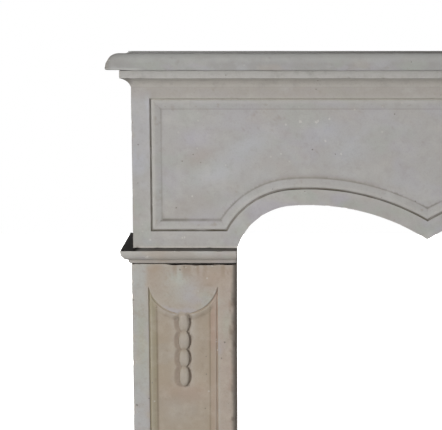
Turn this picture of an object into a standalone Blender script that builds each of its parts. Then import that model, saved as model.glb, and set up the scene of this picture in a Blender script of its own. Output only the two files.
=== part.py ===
# A limestone fireplace surround: two jambs on foot blocks, a capital on each, one lintel and a shelf.
# The origin is on the floor, midway between the jambs and midway between the wall and the shelf's nose.
# X runs along the wall, Y from the room towards the wall, Z up. All sizes are in metres.
import math

import bmesh
import bpy
from mathutils import Vector

# Stones, one above the other
FOOT_HEIGHT = 0.110
JAMB_HEIGHT = 0.533
CAPITAL_HEIGHT = 0.031
LINTEL_HEIGHT = 0.370
SHELF_THICKNESS = 0.035
JOINT = 0.0003  # thin bed joint between two stones

# Plan
OPENING_WIDTH = 0.7906  # between the springings of the two arches
JAMB_WIDTH = 0.2185
LINTEL_DEPTH = 0.171  # from the wall to the frieze
CAPITAL_OVERSAIL = 0.0024  # of the capital, into the opening
JAMB_PROUD = 0.0036  # of the jamb, before and beside the lintel
CAPITAL_PROJECTION = 0.0215
FOOT_PROJECTION = 0.012
FOOT_OVERSAIL = 0.005
SHELF_OVERHANG = 0.047

# Rounding of the corner between the front and the opening
JAMB_EASE = 0.0065
CAPITAL_EASE = 0.0008  # at the head of a capital, growing to the jamb's at its foot
FOOT_EASE = 0.0020

# Arches of the lintel, measured from its underside
ARCH_RISE = 0.0908
CUSP_RISE = 0.0178  # of the point between the two arches
SUMMIT_FROM_SPRINGING = 0.147
HAUNCH_FROM_SUMMIT = 0.0343  # where the tighter curve takes over

# Cornice mould at the head of the lintel
FILLET_HEIGHT = 0.016
FILLET_PROJECTION = 0.0215
HOLLOW_HEIGHT = 0.0190
HOLLOW_SAG = 0.0042

# Rounded nose of the shelf
NOSE_REACH = 0.0260
NOSE_ARRIS = 0.0060  # small rounding below
NOSE_FLAT = 0.0010  # upright band between the two rounds

# Capital: an ovolo over a small rounded listel
CAPITAL_ARRIS = 0.0015
OVOLO_DROP = 0.0210
LISTEL_PROJECTION = 0.0065

# Chamfer at the head of a foot block
FOOT_CHAMFER = 0.010

# Sunk panel of the lintel
FRIEZE_MARGIN = 0.040  # at each end
FRIEZE_HEAD = 0.0576  # from the top of the lintel
FRIEZE_BASE = 0.0356  # from the underside of the lintel
ARCH_MARGIN = 0.0335
FRIEZE_MOULD = 0.0204  # width of the mould
FRIEZE_SUNK = 0.0080  # depth of the field

# Sunk panel of a jamb, below a hanging apron
JAMB_MARGIN = 0.0345  # on the outer side
JAMB_INNER_MARGIN = 0.0385
JAMB_BASE = 0.0345
APRON_DROP = 0.1074  # of its lowest point below the top of the jamb
APRON_SAG = 0.0585  # of that point below its two horns
JAMB_MOULD = 0.0148
JAMB_SUNK = 0.0068

# Section of both panels' moulds, as shares of the field's depth
STEP_SHARE = 0.56  # the sharp step at the outer edge
CREST_SHARE = 0.28  # the highest point of the ovolo
QUIRK = 0.0016  # narrow flat at the foot of the step
QUIRK_RISE = 0.0014  # from the quirk up to the crest

# Drop of beads below the apron
BEAD_COUNT = 4
BEAD_PITCH = 0.0398
BEAD_OVERLAP = 0.0024  # of one bead into the next
FIRST_BEAD_WIDTH = 0.0240
LAST_BEAD_WIDTH = 0.0180
BEAD_BACK = 0.0004  # of a bead's crest behind the jamb's face
BED_OUTER = 0.0100  # hollow beside each bead, away from the opening
BED_INNER = 0.0045  # and towards it
BED_DEPTH = 0.0030  # below the field

# Fineness of the curves
ARC_STEPS = 12
ROUND_STEPS = 7
MOULD_STEPS = 6
BEAD_SEGMENTS = 20
BEAD_RINGS = 12
EASE_STEPS = 4
ARRIS_STEPS = 4
LISTEL_STEPS = 5
CUTTER_CLEARANCE = 0.006  # by which a cutter passes the face it cuts
WELD = 0.00001  # for the caps of a filled curve
SHARP_ANGLE = math.radians(30)

# Colours of the stones, linear red, green and blue
GREY_STONE = (0.37, 0.36, 0.34)
COOL_STONE = (0.33, 0.33, 0.32)
WARM_STONE = (0.38, 0.33, 0.28)

# Levels and planes that follow from the sizes
FOOT_TOP = FOOT_HEIGHT
JAMB_BOTTOM = FOOT_TOP + JOINT
JAMB_TOP = JAMB_BOTTOM + JAMB_HEIGHT
CAPITAL_BOTTOM = JAMB_TOP + JOINT
CAPITAL_TOP = CAPITAL_BOTTOM + CAPITAL_HEIGHT
LINTEL_BOTTOM = CAPITAL_TOP + JOINT
LINTEL_TOP = LINTEL_BOTTOM + LINTEL_HEIGHT
SHELF_BOTTOM = LINTEL_TOP + JOINT
SHELF_TOP = SHELF_BOTTOM + SHELF_THICKNESS

WALL = (LINTEL_DEPTH + SHELF_OVERHANG) / 2
FRIEZE_FACE = WALL - LINTEL_DEPTH
JAMB_FACE = FRIEZE_FACE - JAMB_PROUD
SPRINGING = OPENING_WIDTH / 2
JAMB_INNER = SPRINGING + CAPITAL_OVERSAIL
JAMB_OUTER = JAMB_INNER + JAMB_WIDTH
LINTEL_END = JAMB_OUTER - JAMB_PROUD
PANEL_HALF = (JAMB_WIDTH - JAMB_MARGIN - JAMB_INNER_MARGIN) / 2
PANEL_AXIS = JAMB_OUTER - JAMB_MARGIN - PANEL_HALF
APRON_LOW = JAMB_TOP - APRON_DROP
APRON_RADIUS = (PANEL_HALF**2 + APRON_SAG**2) / (2 * APRON_SAG)
NOSE_DROP = SHELF_THICKNESS - NOSE_ARRIS - NOSE_FLAT
BEAD_RELIEF = JAMB_SUNK - BEAD_BACK

LEFT, RIGHT = -1, 1


def limestone(name, colour):
    """A dry, dull stone of the given colour."""
    stone = bpy.data.materials.new(name)
    stone.use_nodes = True
    shader = stone.node_tree.nodes["Principled BSDF"]
    shader.inputs["Base Color"].default_value = (*colour, 1)
    shader.inputs["Roughness"].default_value = 0.85
    shader.inputs["Metallic"].default_value = 0
    return stone


def new_object(name, mesh, collection, material=None):
    made = bpy.data.objects.new(name, mesh)
    collection.objects.link(made)
    if material:
        mesh.materials.append(material)
    return made


def as_cutter(made):
    made.hide_render = True
    made.display_type = "WIRE"
    return made


def boolean(target, cutter, operation):
    modifier = target.modifiers.new(cutter.name, "BOOLEAN")
    modifier.operation = operation
    modifier.solver = "EXACT"
    modifier.object = cutter


def loft(name, rings):
    """A closed solid through rings of equally many points, with a flat cap at each end."""
    bm = bmesh.new()
    loops = [[bm.verts.new(point) for point in ring] for ring in rings]
    count = len(loops[0])
    for lower, upper in zip(loops, loops[1:]):
        for i in range(count):
            j = (i + 1) % count
            bm.faces.new((lower[i], lower[j], upper[j], upper[i]))
    bm.faces.new(reversed(loops[0]))
    bm.faces.new(loops[-1])
    bmesh.ops.recalc_face_normals(bm, faces=bm.faces)
    mesh = bpy.data.meshes.new(name)
    bm.to_mesh(mesh)
    bm.free()
    return mesh


def shade_round(mesh):
    """Smooth shading over a mould's curves, with its arrises kept sharp."""
    mesh.shade_smooth()
    mesh.set_sharp_from_angle(angle=SHARP_ANGLE)


def quarter_round(reach, drop, steps=ROUND_STEPS):
    """(projection, fall) pairs of a convex quarter, from its level top to its upright side."""
    turns = [math.pi / 2 * i / steps for i in range(steps + 1)]
    return [(reach * math.sin(t), drop * (1 - math.cos(t))) for t in turns]


def arc_by_sag(start, end, sag, steps):
    """Points of the arc from start to end, which leaves its chord by sag on the chord's right."""
    a, b = Vector(start), Vector(end)
    along = (b - a).normalized()
    right = Vector((along.y, -along.x))
    half = (b - a).length / 2
    radius = (half**2 + sag**2) / (2 * sag)
    centre = (a + b) / 2 - right * (radius - sag)
    swing = math.asin(half / radius)
    points = []
    for i in range(steps + 1):
        turn = -swing + 2 * swing * i / steps
        point = centre + right * radius * math.cos(turn) + along * radius * math.sin(turn)
        points.append((point.x, point.y))
    return points


# Courses of moulded stone. Each is a stack of level sections, given as (projection, height) pairs.


def long_course(sections):
    """Rings of a block over the whole width, whose mould returns to the wall at both ends."""
    rings = []
    for projection, height in sections:
        end = LINTEL_END + projection
        front = FRIEZE_FACE - projection
        rings.append([(-end, front, height), (end, front, height), (end, WALL, height), (-end, WALL, height)])
    return rings


def jamb_ring(side, height, projection=0.0, oversail=0.0, ease=JAMB_EASE):
    """A level outline over one jamb: its corner between the front and the opening is rounded."""
    outer = JAMB_OUTER + projection
    inner = JAMB_INNER - oversail
    front = JAMB_FACE - projection
    ring = [(outer, WALL), (outer, front)]
    for i in range(EASE_STEPS + 1):
        turn = math.pi / 2 * i / EASE_STEPS
        ring.append((inner + ease * (1 - math.sin(turn)), front + ease * (1 - math.cos(turn))))
    ring.append((inner, WALL))
    return [(side * x, y, height) for x, y in ring]


def shelf_sections():
    """The nose: a big round above, a small rounded arris below."""
    nose = [
        (SHELF_OVERHANG - NOSE_REACH + reach, SHELF_TOP - fall)
        for reach, fall in quarter_round(NOSE_REACH, NOSE_DROP)
    ]
    arris = [
        (SHELF_OVERHANG - NOSE_ARRIS + reach, SHELF_BOTTOM + fall)
        for reach, fall in quarter_round(NOSE_ARRIS, NOSE_ARRIS, ARRIS_STEPS)
    ]
    return nose + arris[::-1]


def lintel_sections():
    """A fillet, a shallow hollow below it, and the plain frieze."""
    fillet_foot = LINTEL_TOP - FILLET_HEIGHT
    hollow_foot = fillet_foot - HOLLOW_HEIGHT
    hollow = arc_by_sag((FILLET_PROJECTION, fillet_foot), (0, hollow_foot), HOLLOW_SAG, ROUND_STEPS)
    return [(FILLET_PROJECTION, LINTEL_TOP)] + hollow + [(0, LINTEL_BOTTOM)]


def capital_sections():
    """An ovolo over a rounded listel."""
    ovolo_top = CAPITAL_TOP - CAPITAL_ARRIS
    listel_top = ovolo_top - OVOLO_DROP
    ovolo = [
        (LISTEL_PROJECTION + reach, listel_top + fall)
        for reach, fall in quarter_round(CAPITAL_PROJECTION - LISTEL_PROJECTION, OVOLO_DROP)
    ]
    listel = [
        (reach, CAPITAL_BOTTOM + fall)
        for reach, fall in quarter_round(LISTEL_PROJECTION, listel_top - CAPITAL_BOTTOM, LISTEL_STEPS)
    ]
    return [(CAPITAL_PROJECTION - CAPITAL_ARRIS, CAPITAL_TOP)] + ovolo[::-1] + listel[::-1][1:]


def capital_rings(side):
    rings = []
    for projection, height in capital_sections():
        share = projection / CAPITAL_PROJECTION
        ease = CAPITAL_EASE * share + JAMB_EASE * (1 - share)
        rings.append(jamb_ring(side, height, projection, CAPITAL_OVERSAIL * share, ease))
    return rings


def foot_rings(side):
    shoulder = jamb_ring(side, FOOT_TOP)
    edge = jamb_ring(side, FOOT_TOP - FOOT_CHAMFER, FOOT_PROJECTION, FOOT_OVERSAIL, FOOT_EASE)
    floor = jamb_ring(side, 0, FOOT_PROJECTION, FOOT_OVERSAIL, FOOT_EASE)
    return [shoulder, edge, floor]


# The crossbow line of the lintel's underside: a tight haunch and a flat crown on each side of a point.


def arch_circles():
    """((x, z), radius) of the left arch's haunch and crown."""
    summit_x = -SPRINGING + SUMMIT_FROM_SPRINGING
    fall = ARCH_RISE - CUSP_RISE
    crown_radius = (summit_x**2 + fall**2) / (2 * fall)
    crown = Vector((summit_x, LINTEL_BOTTOM + ARCH_RISE - crown_radius))
    lean = math.asin(HAUNCH_FROM_SUMMIT / crown_radius)
    meeting = crown + crown_radius * Vector((-math.sin(lean), math.cos(lean)))
    springing = Vector((-SPRINGING, LINTEL_BOTTOM))
    inward = (crown - meeting).normalized()
    reach = springing - meeting
    haunch_radius = reach.length_squared / (2 * reach.dot(inward))
    haunch = meeting + inward * haunch_radius
    return (haunch, haunch_radius), (crown, crown_radius)


def half_arch(margin, start_height):
    """Points from start_height up the haunch and over the crown to the middle, margin outside the arch's edge."""
    (haunch, haunch_radius), (crown, crown_radius) = arch_circles()
    r1, r2 = haunch_radius + margin, crown_radius + margin
    lean = math.atan2(crown.x - haunch.x, haunch.y - crown.y)
    start = math.acos((start_height - haunch.y) / r1)
    middle = math.asin(-crown.x / r2)
    points = []
    for i in range(ARC_STEPS):
        turn = -start + (start - lean) * i / ARC_STEPS
        points.append((haunch.x + r1 * math.sin(turn), haunch.y + r1 * math.cos(turn)))
    for i in range(ARC_STEPS + 1):
        turn = -lean + (middle + lean) * i / ARC_STEPS
        points.append((crown.x + r2 * math.sin(turn), crown.y + r2 * math.cos(turn)))
    points[-1] = (0.0, points[-1][1])
    return points


def mirrored(points):
    """The same points on the other side, in the opposite order, without the one in the middle."""
    return [(-x, z) for x, z in reversed(points[:-1])]


def arch_cutter(collection):
    """What is cut from below the lintel, as a flat outline drawn in X and Z."""
    half = half_arch(0, LINTEL_BOTTOM)
    below = LINTEL_BOTTOM - CUTTER_CLEARANCE
    outline = [(-SPRINGING, below)] + half + mirrored(half) + [(SPRINGING, below)]
    curve = bpy.data.curves.new("arch_outline", "CURVE")
    curve.dimensions = "2D"
    curve.fill_mode = "BOTH"
    curve.extrude = (LINTEL_DEPTH + 2 * FILLET_PROJECTION) / 2 + CUTTER_CLEARANCE
    spline = curve.splines.new("POLY")
    spline.points.add(len(outline) - 1)
    for point, (x, z) in zip(spline.points, outline):
        point.co = (x, z, 0, 1)
    spline.use_cyclic_u = True
    drawn = bpy.data.objects.new("arch_outline", curve)
    collection.objects.link(drawn)
    drawn.rotation_euler = (math.pi / 2, 0, 0)
    drawn.location = (0, WALL - LINTEL_DEPTH / 2, 0)
    return cutter_from_curve(drawn, "arch_cutter", collection)


def cutter_from_curve(drawn, name, collection):
    """A closed mesh from a filled curve, which it replaces."""
    bpy.context.view_layer.update()
    graph = bpy.context.evaluated_depsgraph_get()
    mesh = bpy.data.meshes.new_from_object(drawn.evaluated_get(graph))
    bm = bmesh.new()
    bm.from_mesh(mesh)
    bmesh.ops.remove_doubles(bm, verts=bm.verts, dist=WELD)
    bmesh.ops.recalc_face_normals(bm, faces=bm.faces)
    bm.to_mesh(mesh)
    bm.free()
    made = new_object(name, mesh, collection)
    made.matrix_world = drawn.matrix_world
    bpy.data.objects.remove(drawn)
    return as_cutter(made)


# Sunk panels. The section of a mould gives (inset, depth) pairs from its outer edge to the field.


def mould_section(width, sunk):
    """A sharp step, a narrow quirk, then an ovolo that rolls down to the field."""
    step, crest = sunk * STEP_SHARE, sunk * CREST_SHARE
    ovolo = quarter_round(width - QUIRK - QUIRK_RISE, sunk - crest, MOULD_STEPS)
    return [(0, step), (QUIRK, step)] + [(QUIRK + QUIRK_RISE + reach, crest + fall) for reach, fall in ovolo]


def frieze_ring(inset):
    """The lintel's panel outline, drawn in by inset."""
    head = LINTEL_TOP - FRIEZE_HEAD - inset
    base = LINTEL_BOTTOM + FRIEZE_BASE + inset
    end = LINTEL_END - FRIEZE_MARGIN - inset
    half = half_arch(ARCH_MARGIN + inset, base)
    return [(-end, head), (-end, base)] + half + mirrored(half) + [(end, base), (end, head)]


def apron_ring(inset):
    """A jamb's panel outline about its own axis, drawn in by inset. Its head is the apron's hanging curve."""
    radius = APRON_RADIUS + inset
    half_width = PANEL_HALF - inset
    base = JAMB_BOTTOM + JAMB_BASE + inset
    swing = math.asin(half_width / radius)
    ring = [(half_width, base), (-half_width, base)]
    for i in range(2 * ARC_STEPS + 1):
        turn = -swing + swing * i / ARC_STEPS
        ring.append((radius * math.sin(turn), APRON_LOW + APRON_RADIUS - radius * math.cos(turn)))
    return ring


def panel_cutter(name, collection, ring, section, face, axis=0.0):
    """The space in front of a sunk panel: its rings follow the mould's section into the stone."""
    stations = [(0, -CUTTER_CLEARANCE)] + section
    rings = [[(axis + x, face + depth, z) for x, z in ring(inset)] for inset, depth in stations]
    return as_cutter(new_object(name, loft(name, rings), collection))


# The drop of beads


def bead_places():
    """(height of its middle, half width, half length) of each bead, from the apron down."""
    places = []
    for i in range(BEAD_COUNT):
        share = i / max(1, BEAD_COUNT - 1)
        width = FIRST_BEAD_WIDTH + (LAST_BEAD_WIDTH - FIRST_BEAD_WIDTH) * share
        places.append((APRON_LOW - BEAD_PITCH * (i + 0.5), width / 2, BEAD_PITCH / 2 + BEAD_OVERLAP))
    return places


def egg(name, collection, centre, radii):
    """An ellipsoid, which joins or cuts a jamb and isn't a stone of its own."""
    mesh = bpy.data.meshes.new(name)
    bm = bmesh.new()
    bmesh.ops.create_uvsphere(bm, u_segments=BEAD_SEGMENTS, v_segments=BEAD_RINGS, radius=1)
    bmesh.ops.scale(bm, vec=radii, verts=bm.verts)
    bm.to_mesh(mesh)
    bm.free()
    made = new_object(name, mesh, collection)
    made.location = centre
    return as_cutter(made)


def carve_drop(jamb, side, collection):
    """Cuts a hollow bed for every bead, then joins the beads to the jamb."""
    axis = side * PANEL_AXIS
    field = JAMB_FACE + JAMB_SUNK
    beads = []
    for number, (height, half_width, half_length) in enumerate(bead_places(), 1):
        bed_middle = (axis + side * (BED_OUTER - BED_INNER) / 2, field, height)
        bed_radii = (half_width + (BED_OUTER + BED_INNER) / 2, BED_DEPTH, half_length)
        boolean(jamb, egg(f"{jamb.name}_bed_{number}", collection, bed_middle, bed_radii), "DIFFERENCE")
        bead_middle = (axis, field + BED_DEPTH, height)
        bead_radii = (half_width, BEAD_RELIEF + BED_DEPTH, half_length)
        beads.append(egg(f"{jamb.name}_bead_{number}", collection, bead_middle, bead_radii))
    for bead in beads:
        boolean(jamb, bead, "UNION")


def make_jamb(name, side, stones, cutters, material):
    """A squared stone with a sunk panel and its drop of beads."""
    shaft = loft(name, [jamb_ring(side, JAMB_TOP), jamb_ring(side, JAMB_BOTTOM)])
    jamb = new_object(name, shaft, stones, material)
    section = mould_section(JAMB_MOULD, JAMB_SUNK)
    panel = panel_cutter(f"{name}_panel", cutters, apron_ring, section, JAMB_FACE, side * PANEL_AXIS)
    boolean(jamb, panel, "DIFFERENCE")
    carve_drop(jamb, side, cutters)


def make_lintel(stones, cutters, material):
    """One long stone with the cornice mould, the two arches and the sunk panel."""
    lintel = new_object("lintel", loft("lintel", long_course(lintel_sections())), stones, material)
    boolean(lintel, arch_cutter(cutters), "DIFFERENCE")
    section = mould_section(FRIEZE_MOULD, FRIEZE_SUNK)
    boolean(lintel, panel_cutter("frieze_panel", cutters, frieze_ring, section, FRIEZE_FACE), "DIFFERENCE")


def clear_scene():
    for existing in list(bpy.data.objects):
        bpy.data.objects.remove(existing)


def build():
    clear_scene()
    stones = bpy.data.collections.new("limestone_fireplace_surround")
    cutters = bpy.data.collections.new("cutters")
    for collection in (stones, cutters):
        bpy.context.scene.collection.children.link(collection)

    grey = limestone("grey_limestone", GREY_STONE)
    cool = limestone("cool_limestone", COOL_STONE)
    warm = limestone("warm_limestone", WARM_STONE)

    for name, side in (("left", LEFT), ("right", RIGHT)):
        new_object(f"foot_block_{name}", loft(f"foot_block_{name}", foot_rings(side)), stones, warm)
        make_jamb(f"jamb_{name}", side, stones, cutters, warm)
        capital = loft(f"capital_{name}", capital_rings(side))
        shade_round(capital)
        new_object(f"capital_{name}", capital, stones, grey)
    make_lintel(stones, cutters, grey)
    shelf = loft("mantel_shelf", long_course(shelf_sections()))
    shade_round(shelf)
    new_object("mantel_shelf", shelf, stones, cool)


build()
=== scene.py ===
# The looks of a worn limestone fireplace surround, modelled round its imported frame.
import itertools
import math

import bmesh
import bpy
import numpy as np
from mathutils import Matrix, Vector
from mathutils.geometry import delaunay_2d_cdt


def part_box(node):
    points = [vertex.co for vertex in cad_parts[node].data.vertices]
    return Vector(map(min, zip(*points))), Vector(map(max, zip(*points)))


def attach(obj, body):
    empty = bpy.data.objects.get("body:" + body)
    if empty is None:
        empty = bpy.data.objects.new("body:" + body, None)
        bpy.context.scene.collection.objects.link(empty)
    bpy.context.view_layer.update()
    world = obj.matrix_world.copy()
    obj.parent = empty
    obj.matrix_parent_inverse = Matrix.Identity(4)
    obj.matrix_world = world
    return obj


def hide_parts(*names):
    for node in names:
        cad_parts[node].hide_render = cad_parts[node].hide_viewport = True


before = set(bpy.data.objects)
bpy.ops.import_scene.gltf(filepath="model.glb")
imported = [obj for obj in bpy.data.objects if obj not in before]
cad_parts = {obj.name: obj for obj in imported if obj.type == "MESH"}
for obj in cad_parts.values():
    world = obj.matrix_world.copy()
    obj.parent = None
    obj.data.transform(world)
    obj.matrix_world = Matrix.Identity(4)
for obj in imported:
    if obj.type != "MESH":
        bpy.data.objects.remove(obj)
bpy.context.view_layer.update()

scene = bpy.context.scene

# Places that the frame gives
shelfLow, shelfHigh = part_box("mantel_shelf")
lintelLow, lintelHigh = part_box("lintel")
capitalLow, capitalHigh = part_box("capital_left")
jambLow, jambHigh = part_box("jamb_left")
footLow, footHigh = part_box("foot_block_left")
wall = lintelHigh[1]

# How finely the stones are modelled, in metres
fineness = {
    "face": 0.0042,  # grid over a dressed face
    "return": 0.0042 * 1.6,  # from the front of a stone back to the wall
    "line": 0.0030,  # along a moulding
    "hidden": 0.014,  # backs and beds
    "arris": (0.0007, 0.0016, 0.0030, 0.0048),  # rows beside an arris, which wear rounds off
    "weld": 0.00001,  # how near to each other two points are made one
    "sliver": 2e-9,  # area of a triangle that is only rounding
    "clear": 0.0012,  # from a mould to the plain grid round it
}

# How the stone has worn, in metres where nothing else is said
wear = {
    "turn": (0.6, 1.3),  # radians at which an edge starts to count as an arris, and counts fully
    "rings": 3,  # rings of points beside an arris that wear with it
    "stretch": 0.030,  # an arris wears more and less by stretches of this length
    "chipDeep": (0.12, 0.34),  # depth of a chip as a share of its radius, from and to
    "chipLumps": 0.004,
    "waves": 0.075,  # from lump to lump of a hand-dressed face
    "ripples": 0.017,
    "backDeep": 0.0022,  # the back is left rough from the saw and the pick
    "backLumps": 0.045,
    "around": 9,  # rings of points over which a hollow is told from a flat
    "hollow": (0.0003, 0.0015),  # depths below the mean of those rings where dirt and painted shade start, and lie thick
    "proud": 0.0009,  # height above that mean which is rubbed pale
    "chipFull": 0.0010,  # depth from which a chip shows its own colour fully
}


# Small tools for lines and noise

def spaced(start, end, step):
    # evenly spaced values from start to end
    return np.linspace(start, end, max(1, math.ceil(abs(end - start) / step)) + 1)


def spacedFine(start, end, step):
    # the same, with closer rows beside both ends
    near = np.array(fineness["arris"])
    middle = spaced(start + near[-1], end - near[-1], step)
    return np.concatenate([[start], start + near[:-1], middle, end - near[:-1][::-1], [end]])


def smooth(values, low, high):
    # 0 at low, 1 at high, eased
    share = np.clip((values - low) / (high - low), 0, 1)
    return share * share * (3 - 2 * share)


def softNoise(places, size, seed):
    # smooth lumps about that many metres across, from -1 to 1; large odd numbers stir each corner's place
    cell = places / size + seed * 7.31
    low = np.floor(cell).astype(np.int64)
    part = cell - low
    ease = part * part * part * (part * (part * 6 - 15) + 10)
    total = np.zeros(len(places))
    for corner in itertools.product((0, 1), repeat=3):
        spot = low + corner
        mixed = seed * 2654435
        for column, key in zip(spot.T, (73856093, 19349663, 83492791)):
            mixed = mixed ^ (column * key)
        mixed = ((mixed ^ (mixed >> 13)) * 1274126177) & 0xFFFFFFFF
        mixed = ((mixed ^ (mixed >> 16)) * 668265263) & 0xFFFFFFFF
        share = np.prod(np.where(corner, ease, 1 - ease), axis=1)
        total += (((mixed >> 8) & 0xFFFF) / 32767.5 - 1) * share
    return total


def roughNoise(places, size, seed):
    # softNoise with finer lumps on it
    return (softNoise(places, size, seed) + 0.5 * softNoise(places, size / 2.3, seed + 1)
            + 0.25 * softNoise(places, size / 5.1, seed + 2)) / 1.75


def insideLine(points, line):
    # which points lie inside the closed line
    inside = np.zeros(len(points), bool)
    for (ax, ay), (bx, by) in zip(line, np.roll(line, -1, axis=0)):
        if ay == by:
            continue
        crosses = (points[:, 1] >= min(ay, by)) & (points[:, 1] < max(ay, by))
        reach = ax + (points[crosses, 1] - ay) * (bx - ax) / (by - ay)
        inside[crosses] ^= points[crosses, 0] < reach
    return inside


def linear(hexColour):
    # an sRGB hex colour as linear red, green, blue and alpha
    parts = [int(hexColour[i:i + 2], 16) / 255 for i in (1, 3, 5)]
    return (*[p / 12.92 if p <= 0.04045 else ((p + 0.055) / 1.055) ** 2.4 for p in parts], 1)


def quarterRound(reach, drop, steps):
    # (reach, fall) pairs from a level top to an upright side
    turns = np.linspace(0, math.pi / 2, steps + 1)
    return [(reach * math.sin(t), drop * (1 - math.cos(t))) for t in turns]


def arcBySag(start, end, sag, steps):
    # points of the arc from start to end that leaves its chord by sag, on the chord's right
    a, b = Vector(start), Vector(end)
    along = (b - a).normalized()
    right = Vector((along.y, -along.x))
    half = (b - a).length / 2
    radius = (half ** 2 + sag ** 2) / (2 * sag)
    centre = (a + b) / 2 - right * (radius - sag)
    swing = math.asin(half / radius)
    turns = np.linspace(-swing, swing, steps + 1)
    return [tuple(centre + right * radius * math.cos(t) + along * radius * math.sin(t)) for t in turns]


# Meshes. A stone is a sheet wrapped round its three dressed sides, closed above, below and behind.

def joinPoints(points, edges, square=False):
    # flat triangles over the points, with the edges kept; a square outline lets inner slivers stay
    made = delaunay_2d_cdt([tuple(p) for p in points], edges, [], 0, 1e-7, False)
    flat = np.array([tuple(p) for p in made[0]])
    triangles = np.array([f for f in made[2] if len(f) == 3])
    a, b, c = (flat[triangles[:, i]] for i in range(3))
    area = np.abs((b - a)[:, 0] * (c - a)[:, 1] - (b - a)[:, 1] * (c - a)[:, 0]) / 2
    border = (flat < flat.min(axis=0) + 1e-7).any(axis=1) | (flat > flat.max(axis=0) - 1e-7).any(axis=1)
    inner = ~border[triangles].all(axis=1)
    return flat, triangles[(area > fineness["sliver"]) | (inner & square)]


def chain(lines, closed):
    # the points of several lines and the edges along them
    points = np.concatenate(lines)
    edges, first = [], 0
    for line in lines:
        count = len(line)
        steps = count if closed else count - 1
        edges += shifted([(i, (i + 1) % count) for i in range(steps)], first)
        first += count
    return points, edges


def shifted(edges, by):
    # the same edges, for points that come after that many others
    return [(a + by, b + by) for a, b in edges]


def fillFlat(loop, across, step):
    # a flat face inside a closed loop, which lies across the axis with that number
    kept = [i for i in range(3) if i != across]
    line = loop[:, kept]
    low, high = line.min(axis=0), line.max(axis=0)
    grid = np.array(list(itertools.product(*[spaced(a, b, step)[1:-1] for a, b in zip(low, high)])))
    if len(grid):
        grid = grid[insideLine(grid, line)]
    if len(grid):
        gap = np.array([np.min(np.hypot(*(line - p).T)) for p in grid])
        grid = grid[gap > step * 0.4]
    outline, edges = chain([line], closed=True)
    points = np.concatenate([outline, grid]) if len(grid) else outline
    flat, triangles = joinPoints(points, edges)
    middle = flat[triangles].mean(axis=1)
    triangles = triangles[insideLine(middle, line)]
    places = np.zeros((len(flat), 3))
    places[:, kept] = flat
    places[:, across] = loop[0, across]
    return places, triangles


def profileRows(profile):
    # how far along its line each point of a profile lies
    return np.concatenate([[0], np.cumsum(np.hypot(*np.diff(profile, axis=0).T))])


def wrap(block, profile, flat):
    # puts the flat (along, up) points of a sheet on the stone
    rise = profileRows(profile)
    along, up = flat[:, 0], flat[:, 1]
    out = np.interp(up, rise, profile[:, 0])
    height = np.interp(up, rise, profile[:, 1])
    low, high = block["low"] - out * block["lowShare"], block["high"] + out * block["highShare"]
    share = np.clip((along - block["low"]) / (block["high"] - block["low"]), 0, 1)
    x = low + (high - low) * share
    back = np.maximum(block["low"] - along, 0) + np.maximum(along - block["high"], 0)
    deep = block["back"] - block["front"]
    y = block["front"] - out + back / deep * (deep + out)
    if block.get("ease"):
        # the corner towards the opening is rounded
        ease = np.interp(out, *block["ease"])
        before, behind = high - x, y - (block["front"] - out)
        onFront = (before < ease) & (back == 0)
        onSide = (behind < ease) & (along > block["high"])
        turn = np.where(onFront, (1 - before / ease) * math.pi / 4, (1 + behind / ease) * math.pi / 4)
        bent = onFront | onSide
        x = np.where(bent, high - ease + ease * np.sin(turn), x)
        y = np.where(bent, block["front"] - out + ease - ease * np.cos(turn), y)
    return np.stack([x, y, height], axis=1)


def faceColumns(block):
    # where the columns of a sheet stand: round one return, over the front, round the other return
    deep = block["back"] - block["front"]
    returns = spacedFine(0, deep, fineness["return"])
    front = spacedFine(block["low"], block["high"], fineness["face"])
    return np.concatenate([block["low"] - returns[:0:-1], front, block["high"] + returns[1:]])


def straight(a, b, step):
    # points on the straight line from a to b
    share = spaced(0, 1, step / max(np.linalg.norm(b - a), step))[:, None]
    return a + (b - a) * share


def roundTop(columns, rows):
    # the rest of a sheet's outline from its lower right corner: up, back along the top, and down
    return [[(columns[-1], r) for r in rows[1:]], [(c, rows[-1]) for c in columns[-2::-1]],
            [(columns[0], r) for r in rows[-2:0:-1]]]


def sheetSides(block, profile, columns, rows):
    # the four edges of a sheet as they lie on the stone
    lines = {
        "bottom": [(c, rows[0]) for c in columns],
        "top": [(c, rows[-1]) for c in columns],
        "left": [(columns[0], r) for r in rows],
        "right": [(columns[-1], r) for r in rows],
    }
    return {name: wrap(block, profile, np.array(line)) for name, line in lines.items()}


def closeBlock(places, underStep, topStep):
    # the underside, the top and the back, from the sheet's four edges
    bottom, top, left, right = (places[name] for name in ("bottom", "top", "left", "right"))
    backBottom = straight(bottom[-1], bottom[0], fineness["hidden"])
    backTop = straight(top[-1], top[0], fineness["hidden"])
    under = fillFlat(np.concatenate([bottom, backBottom[1:-1]]), 2, underStep)
    over = fillFlat(np.concatenate([top, backTop[1:-1]]), 2, topStep)
    behind = np.concatenate([left, backTop[::-1][1:-1], right[::-1], backBottom[1:-1]])
    return [under, over, fillFlat(behind, 1, fineness["hidden"])]


def weld(name, patches):
    # one closed mesh from patches that meet edge to edge
    places = np.concatenate([p for p, _ in patches])
    starts = np.cumsum([0] + [len(p) for p, _ in patches])
    triangles = np.concatenate([t + s for (_, t), s in zip(patches, starts)])
    mesh = bpy.data.meshes.new(name)
    mesh.from_pydata(places, [], triangles)
    bm = bmesh.new()
    bm.from_mesh(mesh)
    bmesh.ops.remove_doubles(bm, verts=bm.verts, dist=fineness["weld"])
    bmesh.ops.delete(bm, geom=[v for v in bm.verts if not v.link_faces], context="VERTS")
    bmesh.ops.recalc_face_normals(bm, faces=bm.faces)
    openEdges = sum(not e.is_manifold for e in bm.edges)
    bm.to_mesh(mesh)
    bm.free()
    print(f"{name}: {len(mesh.polygons)} triangles, {openEdges} open edges")
    return mesh


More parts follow.
